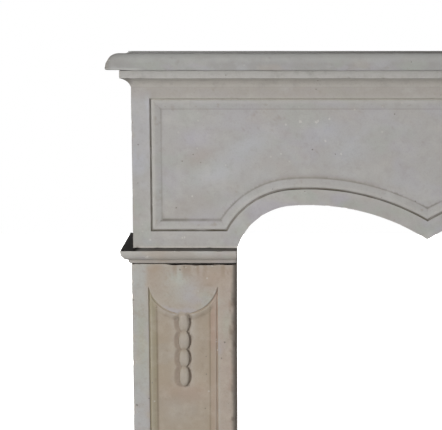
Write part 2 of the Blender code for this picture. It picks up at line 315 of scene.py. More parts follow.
def plainStone(name, block, profile, topStep, underStep, panel=None):
    # a stone whose sheet is a rectangle: columns round it, rows up its profile, and perhaps a sunk panel
    profile = np.array(profile)
    rows = profileRows(profile)
    columns = faceColumns(block)
    edge = np.concatenate([[(c, rows[0]) for c in columns]] + roundTop(columns, rows))
    grid = np.array(list(itertools.product(columns[1:-1], rows[1:-1])))
    outline, edges = chain([edge], closed=True)
    points = [outline]
    if panel:
        grid = grid[panel["keeps"](grid[:, 0], grid[:, 1] + profile[0, 1])]
        lines, lineEdges = panel["lines"]
        points.append(lines - (0, profile[0, 1]))
        edges += shifted(lineEdges, len(outline))
    points.append(grid)
    flat, triangles = joinPoints(np.concatenate(points), edges, square=True)
    sheet = wrap(block, profile, flat)
    if panel:
        onFront = (flat[:, 0] > block["low"]) & (flat[:, 0] < block["high"])
        sheet[:, 1] += np.where(onFront, panel["depth"](sheet[:, 0], sheet[:, 2]), 0)
    sides = sheetSides(block, profile, columns, rows)
    return weld(name, [(sheet, triangles)] + closeBlock(sides, underStep, topStep))


# Weathering, with painted shade in the hollows

def facts(mesh):
    # places, triangles and edges of a mesh as arrays
    places = np.empty(len(mesh.vertices) * 3)
    mesh.vertices.foreach_get("co", places)
    triangles = np.empty(len(mesh.polygons) * 3, np.int64)
    mesh.loops.foreach_get("vertex_index", triangles)
    edges = np.empty(len(mesh.edges) * 2, np.int64)
    mesh.edges.foreach_get("vertices", edges)
    return places.reshape(-1, 3), triangles.reshape(-1, 3), edges.reshape(-1, 2)


def faceNormals(places, triangles):
    # normals as long as twice each triangle's area, and the same with length 1
    a, b, c = (places[triangles[:, i]] for i in range(3))
    cross = np.cross(b - a, c - a)
    return cross, cross / np.maximum(np.linalg.norm(cross, axis=1, keepdims=True), 1e-15)


def pointNormals(places, triangles):
    # the mean of the normals round each point, in which large triangles count more
    cross, _ = faceNormals(places, triangles)
    total = np.zeros_like(places)
    for i in range(3):
        for k in range(3):
            total[:, k] += np.bincount(triangles[:, i], cross[:, k], len(places))
    return total / np.maximum(np.linalg.norm(total, axis=1, keepdims=True), 1e-15)


def neighbourMean(values, edges, count):
    # the mean of each point's neighbours
    a, b = edges.T
    number = np.maximum(np.bincount(a, minlength=count) + np.bincount(b, minlength=count), 1)
    if values.ndim == 1:
        return (np.bincount(a, values[b], count) + np.bincount(b, values[a], count)) / number
    return np.stack([neighbourMean(values[:, k], edges, count) for k in range(values.shape[1])], axis=1)


def arrisMask(places, triangles):
    # 1 on the points of a convex arris, 0 elsewhere
    _, normals = faceNormals(places, triangles)
    sides = np.concatenate([triangles[:, pair] for pair in ([0, 1], [1, 2], [2, 0])])
    sides = np.sort(sides, axis=1)
    owner = np.tile(np.arange(len(triangles)), 3)
    order = np.lexsort((sides[:, 1], sides[:, 0]))
    sides, owner = sides[order], owner[order]
    pair, one, two = sides[0::2], owner[0::2], owner[1::2]
    middle = places[triangles].mean(axis=1)
    outward = np.einsum("ij,ij->i", normals[one], middle[two] - middle[one]) < 0
    turn = np.arccos(np.clip(np.einsum("ij,ij->i", normals[one], normals[two]), -1, 1))
    start, full = wear["turn"]
    sharp = np.where(outward, np.clip((turn - start) / (full - start), 0, 1), 0)
    mask = np.zeros(len(places))
    for i in range(2):
        np.maximum.at(mask, pair[:, i], sharp)
    return mask


def weather(mesh, look):
    # rounds and chips the arrises, roughens the back, and leaves the marks that the material reads
    places, triangles, edges = facts(mesh)
    count = len(places)
    chance = np.random.default_rng(look["seed"])
    arris = np.where(places[:, 2] > look.get("sharpAbove", math.inf), 0, arrisMask(places, triangles))
    near = arris.copy()
    for _ in range(wear["rings"]):
        near = np.maximum(near, neighbourMean(near, edges, count) * 0.95)
    uneven = 0.55 + 0.45 * roughNoise(places, wear["stretch"], look["seed"])
    for _ in range(look["rounding"]):
        normals = pointNormals(places, triangles)
        pull = neighbourMean(places, edges, count) - places
        inward = np.minimum(np.einsum("ij,ij->i", pull, normals), 0)
        places = places + normals * (inward * near * uneven)[:, None]
    normals = pointNormals(places, triangles)

    # chips along the arrises, and larger marks at places that were chosen
    onArris = np.flatnonzero((arris > 0.8) & (places[:, 1] < wall - 0.02))
    chips = [(places[i], chance.uniform(*look["chipSize"]), chance.uniform(*wear["chipDeep"]))
             for i in chance.choice(onArris, look["chips"])]
    chips += look["marks"]
    chipped = np.zeros(count)
    for spot, size, deep in chips:
        gap = np.linalg.norm(places - spot, axis=1)
        close = gap < size
        shape = (1 - (gap[close] / size) ** 2) * size * deep
        chipped[close] = np.maximum(chipped[close], shape)
    chipped *= 0.8 + 0.5 * softNoise(places, wear["chipLumps"], look["seed"] + 5)

    # hand-dressed faces are never quite flat, and the back is rougher
    wave = 0.5 + 0.5 * softNoise(places, wear["waves"], look["seed"] + 9)
    ripple = 0.5 + 0.5 * softNoise(places, wear["ripples"], look["seed"] + 12)
    rough = 0.5 + 0.5 * roughNoise(places, wear["backLumps"], look["seed"] + 15)
    rear = (places[:, 1] > wall - 0.0005) & (arris < 0.5)
    sunk = np.where(rear, wear["backDeep"] * rough, look["wave"] * wave + look["ripple"] * ripple)
    places = places - normals * (chipped + sunk)[:, None]

    # crevices, darkened as dirt and as painted shade, and ledges
    spread = places
    for _ in range(wear["around"]):
        spread = neighbourMean(spread, edges, count)
    hollow = np.einsum("ij,ij->i", spread - places, normals)
    mesh.vertices.foreach_set("co", places.ravel())
    upward = pointNormals(places, triangles)[:, 2]
    start, full = wear["hollow"]
    marks = {
        "creviceDirtAndShade": look.get("grimeAndShade", 1) * np.clip((hollow - start) / (full - start), 0, 1),
        "arris": np.clip(np.maximum(near * 0.5, -hollow / wear["proud"]), 0, 1),
        "ledge": np.interp(np.abs(places[:, 0]), *look["soot"]) * smooth(upward, *look["ledge"]),
        "chip": np.clip(chipped / wear["chipFull"], 0, 1),
    }
    for name, values in marks.items():
        mesh.attributes.new(name, "FLOAT", "POINT").data.foreach_set("value", values.astype(np.float32))
    mesh.shade_smooth()
    mesh.set_sharp_from_angle(angle=math.radians(50))
    mesh.update()


def chipsAt(y, deep, spots):
    # single chips beside a front arris, from their places across and up and their radii
    return [((x, y, z), size, deep) for x, z, size in spots]


def paintGround(mesh, look, side, zones):
    # the broad colours of a stone, which its material then mottles and grains
    places, _, _ = facts(mesh)
    local = places * (-side, 1, 1)
    ground = np.tile(linear(look["ground"]), (len(places), 1))
    smoke = np.zeros(len(places))
    for hexColour, share in zones(local, look["seed"]):
        if hexColour == "smoke":
            smoke = np.maximum(smoke, share)
            continue
        share = share[:, None]
        ground = ground * (1 - share) + np.array(linear(hexColour)) * share
    ground = ground.astype(np.float32)
    mesh.attributes.new("ground", "FLOAT_COLOR", "POINT").data.foreach_set("color", ground.ravel())
    mesh.attributes.new("smoke", "FLOAT", "POINT").data.foreach_set("value", smoke.astype(np.float32))


def finishStone(mesh, look, side, zones):
    # wear, stains, and painted light and shade; side is -1 for stones on the left or in the middle, and 1
    # for those on the right
    weather(mesh, look)
    paintGround(mesh, look, side, zones)
    return mesh


def settle(name, mesh, node, material):
    # a finished stone in its node's place
    mesh.materials.append(material)
    stone = bpy.data.objects.new(name, mesh)
    scene.collection.objects.link(stone)
    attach(stone, "root")
    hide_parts(node)


def mirrorMesh(mesh, name):
    # the same stone for the other side of the opening
    twin = mesh.copy()
    twin.name = name
    places, _, _ = facts(twin)
    places = places * (-1, 1, 1)
    twin.vertices.foreach_set("co", places.ravel())
    twin.flip_normals()
    return twin


# Section of the sunk panels' moulds: how far in from the edge, and what share of the field's depth
mouldSection = {
    "step": 0.66,  # the sharp step at the outer edge
    "crest": 0.33,  # the highest point of the ovolo
    "quirk": 0.0026,
    "crestAt": 0.0046,
    "roll": 1.45,  # how late the ovolo falls away towards the field
}


def mouldLine(width, sunk):
    # (inset, depth) of a panel's mould, from just outside it to its field
    step, crest = sunk * mouldSection["step"], sunk * mouldSection["crest"]
    start = mouldSection["crestAt"]
    quirk = mouldSection["quirk"]
    line = [(-0.0012, 0), (-0.0003, 0.0001), (0.0001, 0.0006), (0.0004, step * 0.85), (0.0009, step),
            (quirk, step), (quirk + 0.0007, step * 0.86), (quirk + 0.0013, crest * 1.22)]
    line += [(start + (width - start) * s, crest + (sunk - crest) * s ** mouldSection["roll"])
             for s in np.linspace(0, 1, 10)]
    return np.array(line)


# The arches' edge: a tight haunch and a flat crown on each side of a point
arch = {
    "springing": 0.3953,  # from the middle of the opening
    "rise": 0.0908,  # of the summit, above the bottom of the lintel
    "cuspRise": 0.0178,  # of the point in the middle
    "summit": 0.147,  # from the springing
    "haunch": 0.0343,  # from the summit, where the tighter curve takes over
}


def archCircles():
    # the two curves of the left arch, each as its centre and radius, and the lean at which they meet
    bottom = lintelLow[2]
    summit = -arch["springing"] + arch["summit"]
    fall = arch["rise"] - arch["cuspRise"]
    crownRadius = (summit ** 2 + fall ** 2) / (2 * fall)
    crown = Vector((summit, bottom + arch["rise"] - crownRadius))
    lean = math.asin(arch["haunch"] / crownRadius)
    meeting = crown + crownRadius * Vector((-math.sin(lean), math.cos(lean)))
    reach = Vector((-arch["springing"], bottom)) - meeting
    inward = (crown - meeting).normalized()
    haunchRadius = reach.length_squared / (2 * reach.dot(inward))
    return meeting + inward * haunchRadius, haunchRadius, crown, crownRadius, lean


haunch, haunchRadius, crown, crownRadius, lean = archCircles()


def archLine(margin, startHeight):
    # the left arch's edge from startHeight up to the middle, moved out by margin
    tight, wide = haunchRadius + margin, crownRadius + margin
    start = math.acos((startHeight - haunch.y) / tight)
    middle = math.asin(-crown.x / wide)
    low = spaced(-start, -lean, fineness["line"] / tight)[:-1]
    top = spaced(-lean, middle, fineness["line"] / wide)
    line = [(haunch.x + tight * math.sin(t), haunch.y + tight * math.cos(t)) for t in low]
    line += [(crown.x + wide * math.sin(t), crown.y + wide * math.cos(t)) for t in top]
    line[-1] = (0.0, line[-1][1])
    return np.array(line)


def archOffset(x, z):
    # how far each point lies outside the arches' edge
    x = -np.abs(x)
    onHaunch = np.arctan2(x - haunch.x, z - haunch.y) < -lean
    fromHaunch = np.hypot(x - haunch.x, z - haunch.y) - haunchRadius
    fromCrown = np.hypot(x - crown.x, z - crown.y) - crownRadius
    return np.where(onHaunch, fromHaunch, fromCrown)


def bothSides(line):
    # a line that ends in the middle, with its mirror image after it
    return np.concatenate([line, line[-2::-1] * (-1, 1)])


lintelLook = {
    "filletHeight": 0.016,
    "filletProjection": 0.0215,
    "hollowHeight": 0.0190,
    "hollowSag": 0.0042,
    "margin": 0.0380,  # of the panel, at each end
    "head": 0.0576,  # from the panel up to the top of the stone
    "base": 0.0364,  # and down to its bottom
    "archMargin": 0.0337,  # and to the arches' edge
    "mould": 0.0226,  # width of the panel's mould
    "sunk": 0.0058,  # depth of its field
    "ground": "#a5a29f",
    "soot": ((0, 1), (0.75, 0.75)),  # distances from the middle, and how sooty the ledges are there
    "ledge": (0.8, 0.95),  # how level a face is where soot starts to lie, and where it lies thick
    "sharpAbove": lintelHigh[2] - 0.0005,  # where the shelf lies on it, and keeps its arris from wear
    "seed": 11, "rounding": 3, "chips": 90, "chipSize": (0.0022, 0.0065),
    "marks": chipsAt(lintelLow[1] + 0.0213, 0.3, (
        (-0.5165, 0.6978, 0.0022), (-0.5135, 0.6969, 0.0025), (-0.5100, 0.6962, 0.0020),
        (-0.570, 0.975, 0.004))),
    "wave": 0.00045, "ripple": 0.00016,  # depths of the lumps on its dressed faces
}

# Places on the lintel that its shape and its colours share
friezeEnd = lintelHigh[0] - lintelLook["filletProjection"]
friezeFront = lintelLow[1] + lintelLook["filletProjection"]
filletFoot = lintelHigh[2] - lintelLook["filletHeight"]
hollowFoot = filletFoot - lintelLook["hollowHeight"]
panelEnd = friezeEnd - lintelLook["margin"]
panelHead = lintelHigh[2] - lintelLook["head"]
panelBase = lintelLow[2] + lintelLook["base"]


def friezeInsets(x, z):
    # how far each point lies inside the panel's ends, head, base and arched edge
    return [panelEnd - np.abs(x), panelHead - z, z - panelBase, archOffset(x, z) - lintelLook["archMargin"]]


def lintelStone():
    # one long stone: cornice mould, frieze with a sunk panel, and the two arches
    look = lintelLook
    bottom, top = lintelLow[2], lintelHigh[2]
    out = look["filletProjection"]
    end, front = friezeEnd, friezeFront
    block = {"low": -end, "high": end, "front": front, "back": wall, "lowShare": 1, "highShare": 1}
    hollow = arcBySag((out, filletFoot), (0, hollowFoot), look["hollowSag"], 12)[::-1]
    rowsBelow = spacedFine(bottom, hollowFoot, fineness["face"])
    fillet = spacedFine(filletFoot, top, 0.0030)
    profile = np.array([(0, z) for z in rowsBelow[:-1]] + hollow + [(out, z) for z in fillet[1:]])
    rows = profileRows(profile)
    columns = faceColumns(block)
    section = mouldLine(look["mould"], look["sunk"])

    def ring(by):
        # the panel's edge moved inwards
        head, base, side = panelHead - by, panelBase + by, panelEnd - by
        curve = bothSides(archLine(look["archMargin"] + by, base))
        upright = spaced(head, base, fineness["line"])
        level = spaced(-side, curve[0, 0], fineness["line"])
        across = spaced(side, -side, fineness["line"])
        return np.concatenate([
            [(-side, z) for z in upright[:-1]], [(x, base) for x in level[:-1]], curve,
            [(-x, base) for x in level[-2:0:-1]], [(side, z) for z in upright[::-1][:-1]],
            [(x, head) for x in across[:-1]]])

    # the sheet's outline: along the bottom and over the arches, then round
    low = np.array([(c, bottom) for c in columns if c < -arch["springing"] - 0.0002])
    foot = np.concatenate([low, bothSides(archLine(0, bottom)), low[::-1] * (-1, 1)])
    outline = np.concatenate([foot - (0, bottom)] + roundTop(columns, rows))
    lines = [ring(by) - (0, bottom) for by in section[:, 0]]
    arrises = [bothSides(archLine(by, bottom + by * 1.2)) - (0, bottom) for by in fineness["arris"]]
    points, edges = chain([outline], closed=True)
    for group, closed in ((lines, True), (arrises, False)):
        more, moreEdges = chain(group, closed)
        edges += shifted(moreEdges, len(points))
        points = np.concatenate([points, more])
    grid = np.array(list(itertools.product(columns[1:-1], rows[1:-1])))
    x, z = grid[:, 0], grid[:, 1] + bottom
    away = np.minimum.reduce(friezeInsets(x, z))
    clear = fineness["clear"]
    onFrieze = (np.abs(x) < end) & (z < hollowFoot)
    inMould = onFrieze & (away > section[0, 0] - clear) & (away < look["mould"] + clear)
    besideArch = (np.abs(x) < arch["springing"] + clear + 0.0040) & (archOffset(x, z) < clear + 0.0050)
    grid = grid[~(inMould | (onFrieze & besideArch))]
    flat, triangles = joinPoints(np.concatenate([points, grid]), edges)
    triangles = triangles[insideLine(flat[triangles].mean(axis=1), outline)]
    sheet = wrap(block, profile, flat)
    onFront = (np.abs(flat[:, 0]) < end) & (sheet[:, 2] < hollowFoot)
    away = np.minimum.reduce(friezeInsets(sheet[:, 0], sheet[:, 2]))
    sheet[:, 1] += np.where(onFront, np.interp(away, section[:, 0], section[:, 1]), 0)

    # the underside and the arches' soffits run straight back to the wall
    under = foot[(foot[:, 0] >= -end - 1e-6) & (foot[:, 0] <= end + 1e-6)]
    backs = front + spacedFine(0, wall - front, fineness["return"])
    soffit = np.array([(x, y, z) for x, z in under for y in backs])
    wide = len(backs)
    cells = np.array([(i * wide + j, i * wide + j + 1, (i + 1) * wide + j + 1, (i + 1) * wide + j)
                      for i in range(len(under) - 1) for j in range(wide - 1)])
    strip = np.concatenate([cells[:, [0, 1, 2]], cells[:, [0, 2, 3]]])
    sides = sheetSides(block, profile, columns, rows)
    topBack = straight(sides["top"][-1], sides["top"][0], fineness["hidden"])
    backFoot = np.array([(x, wall, z) for x, z in under])
    rear = [sides["left"], topBack[::-1][1:-1], sides["right"][::-1], backFoot[::-1][1:-1]]
    over = fillFlat(np.concatenate([sides["top"], topBack[1:-1]]), 2, fineness["hidden"])
    behind = fillFlat(np.concatenate(rear), 1, fineness["hidden"])
    mesh = weld("lintelStone", [(sheet, triangles), (soffit, strip), over, behind])
    return finishStone(mesh, look, -1, lintelZones)


shelfLook = {
    "overhang": 0.047,  # of the slab past the block that its sheet is wrapped round
    "noseReach": 0.026,
    "noseArris": 0.0032,
    "noseFlat": 0.001,  # upright part between the round nose and the arris
    "worn": 0.0003,  # how far the lower arris wavers
    "wornEnd": 0.0012,  # and rises at the left end
    "endFall": 0.0052,  # how far the top falls away at the back of the left end
    "endFrom": (-0.6137, -0.0224),  # where that starts: in front, and how much further out at the back
    "ground": "#969593",
    "soot": ((0, 1), (0.88, 0.88)),
    "ledge": (0.95, 0.995),
    "seed": 23, "rounding": 1, "chips": 34, "chipSize": (0.003, 0.009), "marks": [],
    "wave": 0.0003, "ripple": 0.00015,
}


def shelfStone():
    # a slab with a round nose over a small worn arris
    look = shelfLook
    bottom, top = shelfLow[2], shelfHigh[2]
    over = look["overhang"]
    end, front = shelfHigh[0] - over, shelfLow[1] + over
    block = {"low": -end, "high": end, "front": front, "back": wall, "lowShare": 1, "highShare": 1}
    drop = top - bottom - look["noseArris"] - look["noseFlat"]
    nose = [(over - look["noseReach"] + reach, top - fall)
            for reach, fall in quarterRound(look["noseReach"], drop, 18)]
    arris = [(over - look["noseArris"] + reach, bottom + fall)
             for reach, fall in quarterRound(look["noseArris"], look["noseArris"], 6)]
    mesh = plainStone("shelfStone", block, arris + nose[::-1], topStep=0.0055, underStep=0.009)
    places, _, _ = facts(mesh)
    x, y, z = places.T
    beyond = smooth(np.maximum(front - y, np.abs(x) - end), lintelLook["filletProjection"] + 0.001, 0.031)
    uneven = look["worn"] * (0.5 + 0.5 * softNoise(places * (1, 1, 0), 0.06, look["seed"] + 3))
    uneven += look["wornEnd"] * smooth(-x, 0.60, 0.635)
    places[:, 2] += uneven * beyond * np.clip(1 - (z - bottom) / 0.014, 0, 1)
    rearward = np.clip((y - front + 0.02) / (wall - front + 0.02), 0, 1)
    worn = smooth(look["endFrom"][0] + look["endFrom"][1] * rearward - x, -0.001, 0.004)
    places[:, 2] -= look["endFall"] * rearward * worn * np.clip((z - bottom) / (top - bottom), 0, 1)
    mesh.vertices.foreach_set("co", places.ravel())
    return finishStone(mesh, look, -1, shelfZones)


capitalLook = {
    "projection": 0.0215,
    "oversail": 0.0024,  # into the opening
    "arris": 0.0008,
    "ovoloDrop": 0.021,
    "listel": 0.0065,
    "easeHead": 0.0008,  # rounding of the corner to the opening, at the head and at the foot
    "easeFoot": 0.0065,
    "ground": "#a29b93",
    "soot": ((0.598, 0.606), (0.66, 0.98)),
    "ledge": (0.8, 0.95),
    "seed": 31, "rounding": 2, "chips": 26, "chipSize": (0.0022, 0.006),
    "marks": chipsAt(capitalLow[1] + 0.0012, 0.3, (
        (-0.5860, 0.6590, 0.0035), (-0.5830, 0.6565, 0.0040), (-0.5805, 0.6590, 0.0030),
        (-0.5160, 0.6745, 0.0045), (-0.4350, 0.6755, 0.0050), (-0.4280, 0.6750, 0.0040))),
    "wave": 0.0004, "ripple": 0.00016,
}


def capitalStone():
    # an ovolo over a rounded listel
    look = capitalLook
    bottom, top = capitalLow[2], capitalHigh[2]
    out = look["projection"]
    block = {
        "low": capitalLow[0] + out, "high": capitalHigh[0] - look["oversail"], "front": capitalLow[1] + out,
        "back": wall, "lowShare": 1, "highShare": look["oversail"] / out,
        "ease": ((0, out), (look["easeFoot"], look["easeHead"])),
    }
    ovoloTop = top - look["arris"]
    listelTop = ovoloTop - look["ovoloDrop"]
    listel = [(reach, bottom + fall) for reach, fall in quarterRound(look["listel"], listelTop - bottom, 7)]
    ovolo = [(look["listel"] + reach, listelTop + fall)
             for reach, fall in quarterRound(out - look["listel"], look["ovoloDrop"], 12)]
    profile = listel + ovolo[1:] + [(out - look["arris"], top)]
    return plainStone("capitalStone", block, profile, topStep=0.006, underStep=0.009)


jambLook = {
    "margin": 0.0345,  # of the panel, on the outer side
    "innerMargin": 0.0385,
    "base": 0.0345,
    "apronDrop": 0.1074,  # lowest point of the apron, below the head of the jamb
    "apronSag": 0.0585,
    "mould": 0.0165,
    "sunk": 0.0054,
    "ease": 0.0065,  # rounding of the corner to the opening
    "gap": 0.0040,  # widest opening of the joint over the jamb, where its mortar is gone
    "ground": "#a49a8e",
    "soot": ((0, 1), (1, 1)),
    "ledge": (0.8, 0.95),
    "grimeAndShade": 0.3,  # its hollows take less dirt and painted shade than those of the other stones
    "seed": 41, "rounding": 5, "chips": 60, "chipSize": (0.0022, 0.007),
    "marks": chipsAt(jambLow[1] + 0.0002, 0.28, (
        (-0.4780, 0.6470, 0.0045), (-0.4690, 0.6480, 0.0050), (-0.4600, 0.6465, 0.0055),
        (-0.4500, 0.6475, 0.0045), (-0.5040, 0.6370, 0.0030), (-0.4970, 0.6350, 0.0032),
        (-0.4880, 0.6360, 0.0026), (-0.5120, 0.6340, 0.0018), (-0.4920, 0.6330, 0.0018),
        (-0.4145, 0.4700, 0.0030))),
    "wave": 0.0005, "ripple": 0.00018,
}

# The drop of beads under the apron, with a scooped bed beside them
beadLook = {
    "necks": (0.5430, 0.4948, 0.4563, 0.4183, 0.3768),  # heights between the beads
    "widths": (0.0248, 0.0246, 0.0234, 0.0224),
    "aside": 0.0009,  # the drop hangs a little off the panel's middle
    "ends": (2.5, 1.8, 1.8, 1.8),  # how blunt each bead's upper end is
    "lowerEnd": 1.8,
    "behind": (0.92, 0.022),  # how much of the apron's mould is gone behind the drop, and over what width
    "overlap": 0.0016,
    "crest": 0.0004,  # behind the jamb's face
    "bedDepth": 0.0030,
    "bedOuter": (0.0124, 0.0100),  # how far the bed reaches from the stem: at a neck, and more at a bead
    "bedInner": (0.0035, 0.0118),
    "slopeOuter": (1.25, 0.8),  # the bed's depth beside the bead, as a share of bedDepth, and its hollowness
    "slopeInner": (1.9, 0.5),
    "endFade": 0.004,  # the bed runs out over this height below the last bead
    "row": 0.0014,
}

# Places on the jamb that its shape and its colours share
panelOuter, panelInner = jambLow[0] + jambLook["margin"], jambHigh[0] - jambLook["innerMargin"]
stem = (panelOuter + panelInner) / 2 + beadLook["aside"]
apronLow = jambHigh[2] - jambLook["apronDrop"]


def jambPanel():
    # the sunk panel of the left jamb: its outline, its mould and its drop of beads
    look = jambLook
    axis, half = (panelOuter + panelInner) / 2, (panelInner - panelOuter) / 2
    radius = (half ** 2 + look["apronSag"] ** 2) / (2 * look["apronSag"])
    centre = apronLow + radius
    horns = centre - math.sqrt(radius ** 2 - half ** 2)
    base = jambLow[2] + look["base"]
    section = mouldLine(look["mould"], look["sunk"])

    def inset(x, z):
        fromApron = np.hypot(x - axis, z - centre) - radius
        return np.minimum.reduce([half - np.abs(x - axis), z - base, np.where(z < horns, fromApron, -1)])

    def ring(by):
        # the panel's edge moved inwards
        side, foot, sweep = half - by, base + by, radius + by
        swing = math.asin(min(1, side / sweep))
        head = centre - sweep * math.cos(swing)
        turns = spaced(-swing, swing, fineness["line"] / sweep)
        curve = [(axis + sweep * math.sin(t), centre - sweep * math.cos(t)) for t in turns]
        upright = spaced(head, foot, fineness["line"])
        level = spaced(-side, side, fineness["line"])
        return np.concatenate([
            curve[:-1], [(axis + side, z) for z in upright[:-1]], [(axis - x, foot) for x in level[:-1]],
            [(axis - side, z) for z in upright[::-1][:-1]]])

    necks, widths = beadLook["necks"], beadLook["widths"]
    beads = [((a + b) / 2, (a - b) / 2 + beadLook["overlap"], w / 2, blunt)
             for a, b, w, blunt in zip(necks, necks[1:], widths, beadLook["ends"])]

    def along(z, mid, length, blunt):
        # 0 in a bead's middle, 1 at its ends
        return np.abs((z - mid) / length) ** np.where(z > mid, blunt, beadLook["lowerEnd"])

    def halfWidth(z):
        # of the drop, at each height
        return np.maximum.reduce([w * np.clip(1 - along(z, mid, length, blunt), 0, 1) ** 0.5
                                  for mid, length, w, blunt in beads])

    def swell(z):
        # 0 at a neck, 1 beside the middle of a bead
        return np.maximum.reduce([np.sqrt(np.clip(1 - ((z - mid) / length) ** 2, 0, 1))
                                  for mid, length, _, _ in beads])

    def bedReach(z, inner):
        # of the bed from the stem, at each height
        atNeck, more = beadLook["bedInner" if inner else "bedOuter"]
        return atNeck + more * swell(z)

    def depth(x, z):
        # how far each point of the face is carved in: the mould, then the bed, then the beads
        away = inset(x, z)
        carved = np.interp(away, section[:, 0], section[:, 1])
        gone, width = beadLook["behind"]
        fade = gone * np.exp(-((x - stem) / width) ** 2) * smooth(away, look["mould"], look["mould"] * 0.4)
        carved = carved * (1 - fade * (z > apronLow - look["mould"] - 0.004))
        aside = np.abs(x - stem)
        inner = x > stem
        reach = np.where(inner, bedReach(z, True), bedReach(z, False))
        wide = halfWidth(z)
        across = np.clip((reach - aside) / np.maximum(reach - wide, 0.0005), 0, 1)
        (steepIn, powerIn), (steepOut, powerOut) = beadLook["slopeInner"], beadLook["slopeOuter"]
        slope = np.where(inner, steepIn * across ** powerIn, steepOut * across ** powerOut)
        fadeHeight = beadLook["endFade"]
        inDrop = (z < necks[0]) & (z > necks[-1] - fadeHeight)
        ending = np.clip((z - necks[-1] + fadeHeight) / fadeHeight, 0, 1)
        ending = ending * np.clip((apronLow - 0.001 - z) / 0.006, 0, 1)
        carved = np.where(inDrop, carved + beadLook["bedDepth"] * slope * ending, carved)
        bedBottom = look["sunk"] + beadLook["bedDepth"]
        for mid, length, w, blunt in beads:
            form = 1 - np.abs((x - stem) / w) ** 3 - along(z, mid, length, blunt)
            bead = bedBottom - (bedBottom - beadLook["crest"]) * np.clip(form, 0, 1) ** 0.45
            carved = np.where(form > 0, np.minimum(carved, bead), carved)
        return carved

    def dropLines():
        # columns of points down the drop, and whether each one follows the steep side of the beads
        heights = spaced(necks[0] - 0.0004, necks[-1] - 0.005, beadLook["row"])
        wide = halfWidth(heights)
        overBead = (0.3, 0.55, 0.75, 0.89, 0.965)
        lines = [(np.stack([np.full_like(heights, stem), heights], axis=1), False)]
        for side, inner in ((-1, False), (1, True)):
            reach = bedReach(heights, inner)
            besideBead = wide + 0.0003
            offsets = [wide * share for share in overBead] + [besideBead]
            offsets += [besideBead + (reach - besideBead) * share for share in (0.2, 0.45, 0.7, 1.0)]
            offsets += [reach + fineness["clear"]]
            keep = wide > 0.0008
            for number, offset in enumerate(offsets):
                line = np.stack([stem + side * np.maximum(offset, 0.0002 * (number + 1)), heights], axis=1)
                steep = number in (len(overBead) - 1, len(overBead))
                lines.append((line[keep] if number < len(overBead) else line, steep))
        return lines

    drop = dropLines()
    ringPoints, edges = chain([ring(by) for by in section[:, 0]], closed=True)
    points = np.concatenate([ringPoints] + [line for line, _ in drop])
    first = len(ringPoints)
    below = apronLow - look["mould"] - 0.001
    for line, steep in drop:
        # the steep sides of the beads are kept as edges, clear of the mould
        if steep:
            edges += shifted([(i, i + 1) for i in range(len(line) - 1) if line[i, 1] < below
                              and line[i, 1] - line[i + 1, 1] < beadLook["row"] * 1.1], first)
        first += len(line)

    def keeps(x, z):
        # whether a point of the plain grid stays, clear of the mould and of the drop
        away = inset(x, z)
        clear = fineness["clear"]
        inMould = (away > section[0, 0] - clear) & (away < look["mould"] + clear)
        reach = np.where(x > stem, bedReach(z, True), bedReach(z, False))
        inDrop = (z < necks[0]) & (z > necks[-1] - 0.0065) & (np.abs(x - stem) < reach + 0.0025)
        return ~(inMould | inDrop) | (x < jambLow[0]) | (x > jambHigh[0])

    return {"lines": (points, edges), "keeps": keeps, "depth": depth}


def jambStone():
    # a squared stone with its panel
    look = jambLook
    bottom, top = jambLow[2], jambHigh[2]
    block = {
        "low": jambLow[0], "high": jambHigh[0], "front": jambLow[1], "back": wall,
        "lowShare": 1, "highShare": 1,
        "ease": ((0, 1), (look["ease"], look["ease"])),
    }
    profile = [(0, z) for z in spacedFine(bottom, top, fineness["face"])]
    mesh = plainStone("jambStone", block, profile, 0.006, fineness["hidden"], panel=jambPanel())
    places, _, _ = facts(mesh)
    x, y, z = places.T
    across = x - jambLow[0]

    # the open joint: a hair on the left, wide from a third of the width on, as deep as its mortar is gone
    ragged = 0.68 + 0.4 * roughNoise(places * (1, 1, 0), 0.022, look["seed"] + 7)
    share = 0.15 * smooth(across, 0.012, 0.03) + 0.85 * smooth(across, 0.070, 0.088)
    deep = 1 - smooth(y - jambLow[1], 0.016, 0.030)
    fade = np.clip((z - top + 0.012) / 0.012, 0, 1) ** 1.5
    places[:, 2] -= look["gap"] * ragged * share * deep * fade
    mesh.vertices.foreach_set("co", places.ravel())
    return mesh


footLook = {
    "projection": 0.012,
    "oversail": 0.005,
    "chamfer": 0.010,
    "ease": 0.002,
    "ground": "#a1978a",
    "soot": ((0, 1), (0.5, 0.5)),
    "ledge": (0.8, 0.95),
    "seed": 61, "rounding": 5, "chips": 30, "chipSize": (0.003, 0.009), "marks": [],
    "wave": 0.0006, "ripple": 0.0002,
}


def footStone():
    # a plain plinth with a chamfer under the jamb
    look = footLook
    bottom, top = footLow[2], footHigh[2]
    out = look["projection"]
    block = {
        "low": footLow[0] + out, "high": footHigh[0] - look["oversail"], "front": footLow[1] + out,
        "back": wall, "lowShare": 1, "highShare": look["oversail"] / out,
        "ease": ((0, out), (jambLook["ease"], look["ease"])),
    }
    shoulder = top - look["chamfer"]
    side = [(out, z) for z in spacedFine(bottom, shoulder, fineness["face"])]
    slant = [(out * (1 - share), shoulder + look["chamfer"] * share)
             for share in (0.08, 0.2, 0.4, 0.6, 0.8, 0.92, 1)]
    return plainStone("footStone", block, side + slant, fineness["hidden"], fineness["hidden"])


# Broad colours of the stones, with painted light and shade among them. Every zone gives a colour and how
# strongly each point takes it.

def cloud(local, size, seed, level=0.0):
    # patches of about that size, from 0 to 1, more of them where level is higher
    return smooth(roughNoise(local, size, seed), 0.15 - level, 0.55 - level)


def outerRimShade(fromSide, y, front):
    # painted shade on a stone's outer front arris, which is darker than its face as it turns away from the
    # light
    return smooth(fromSide, 0.0022, 0.0004) * smooth(y, front + 0.025, front + 0.005)


def revealEdge(across, wide):
    # the arris towards the opening, where the soot and painted shade begin
    return smooth(across, wide - 0.0036, wide - 0.0002)


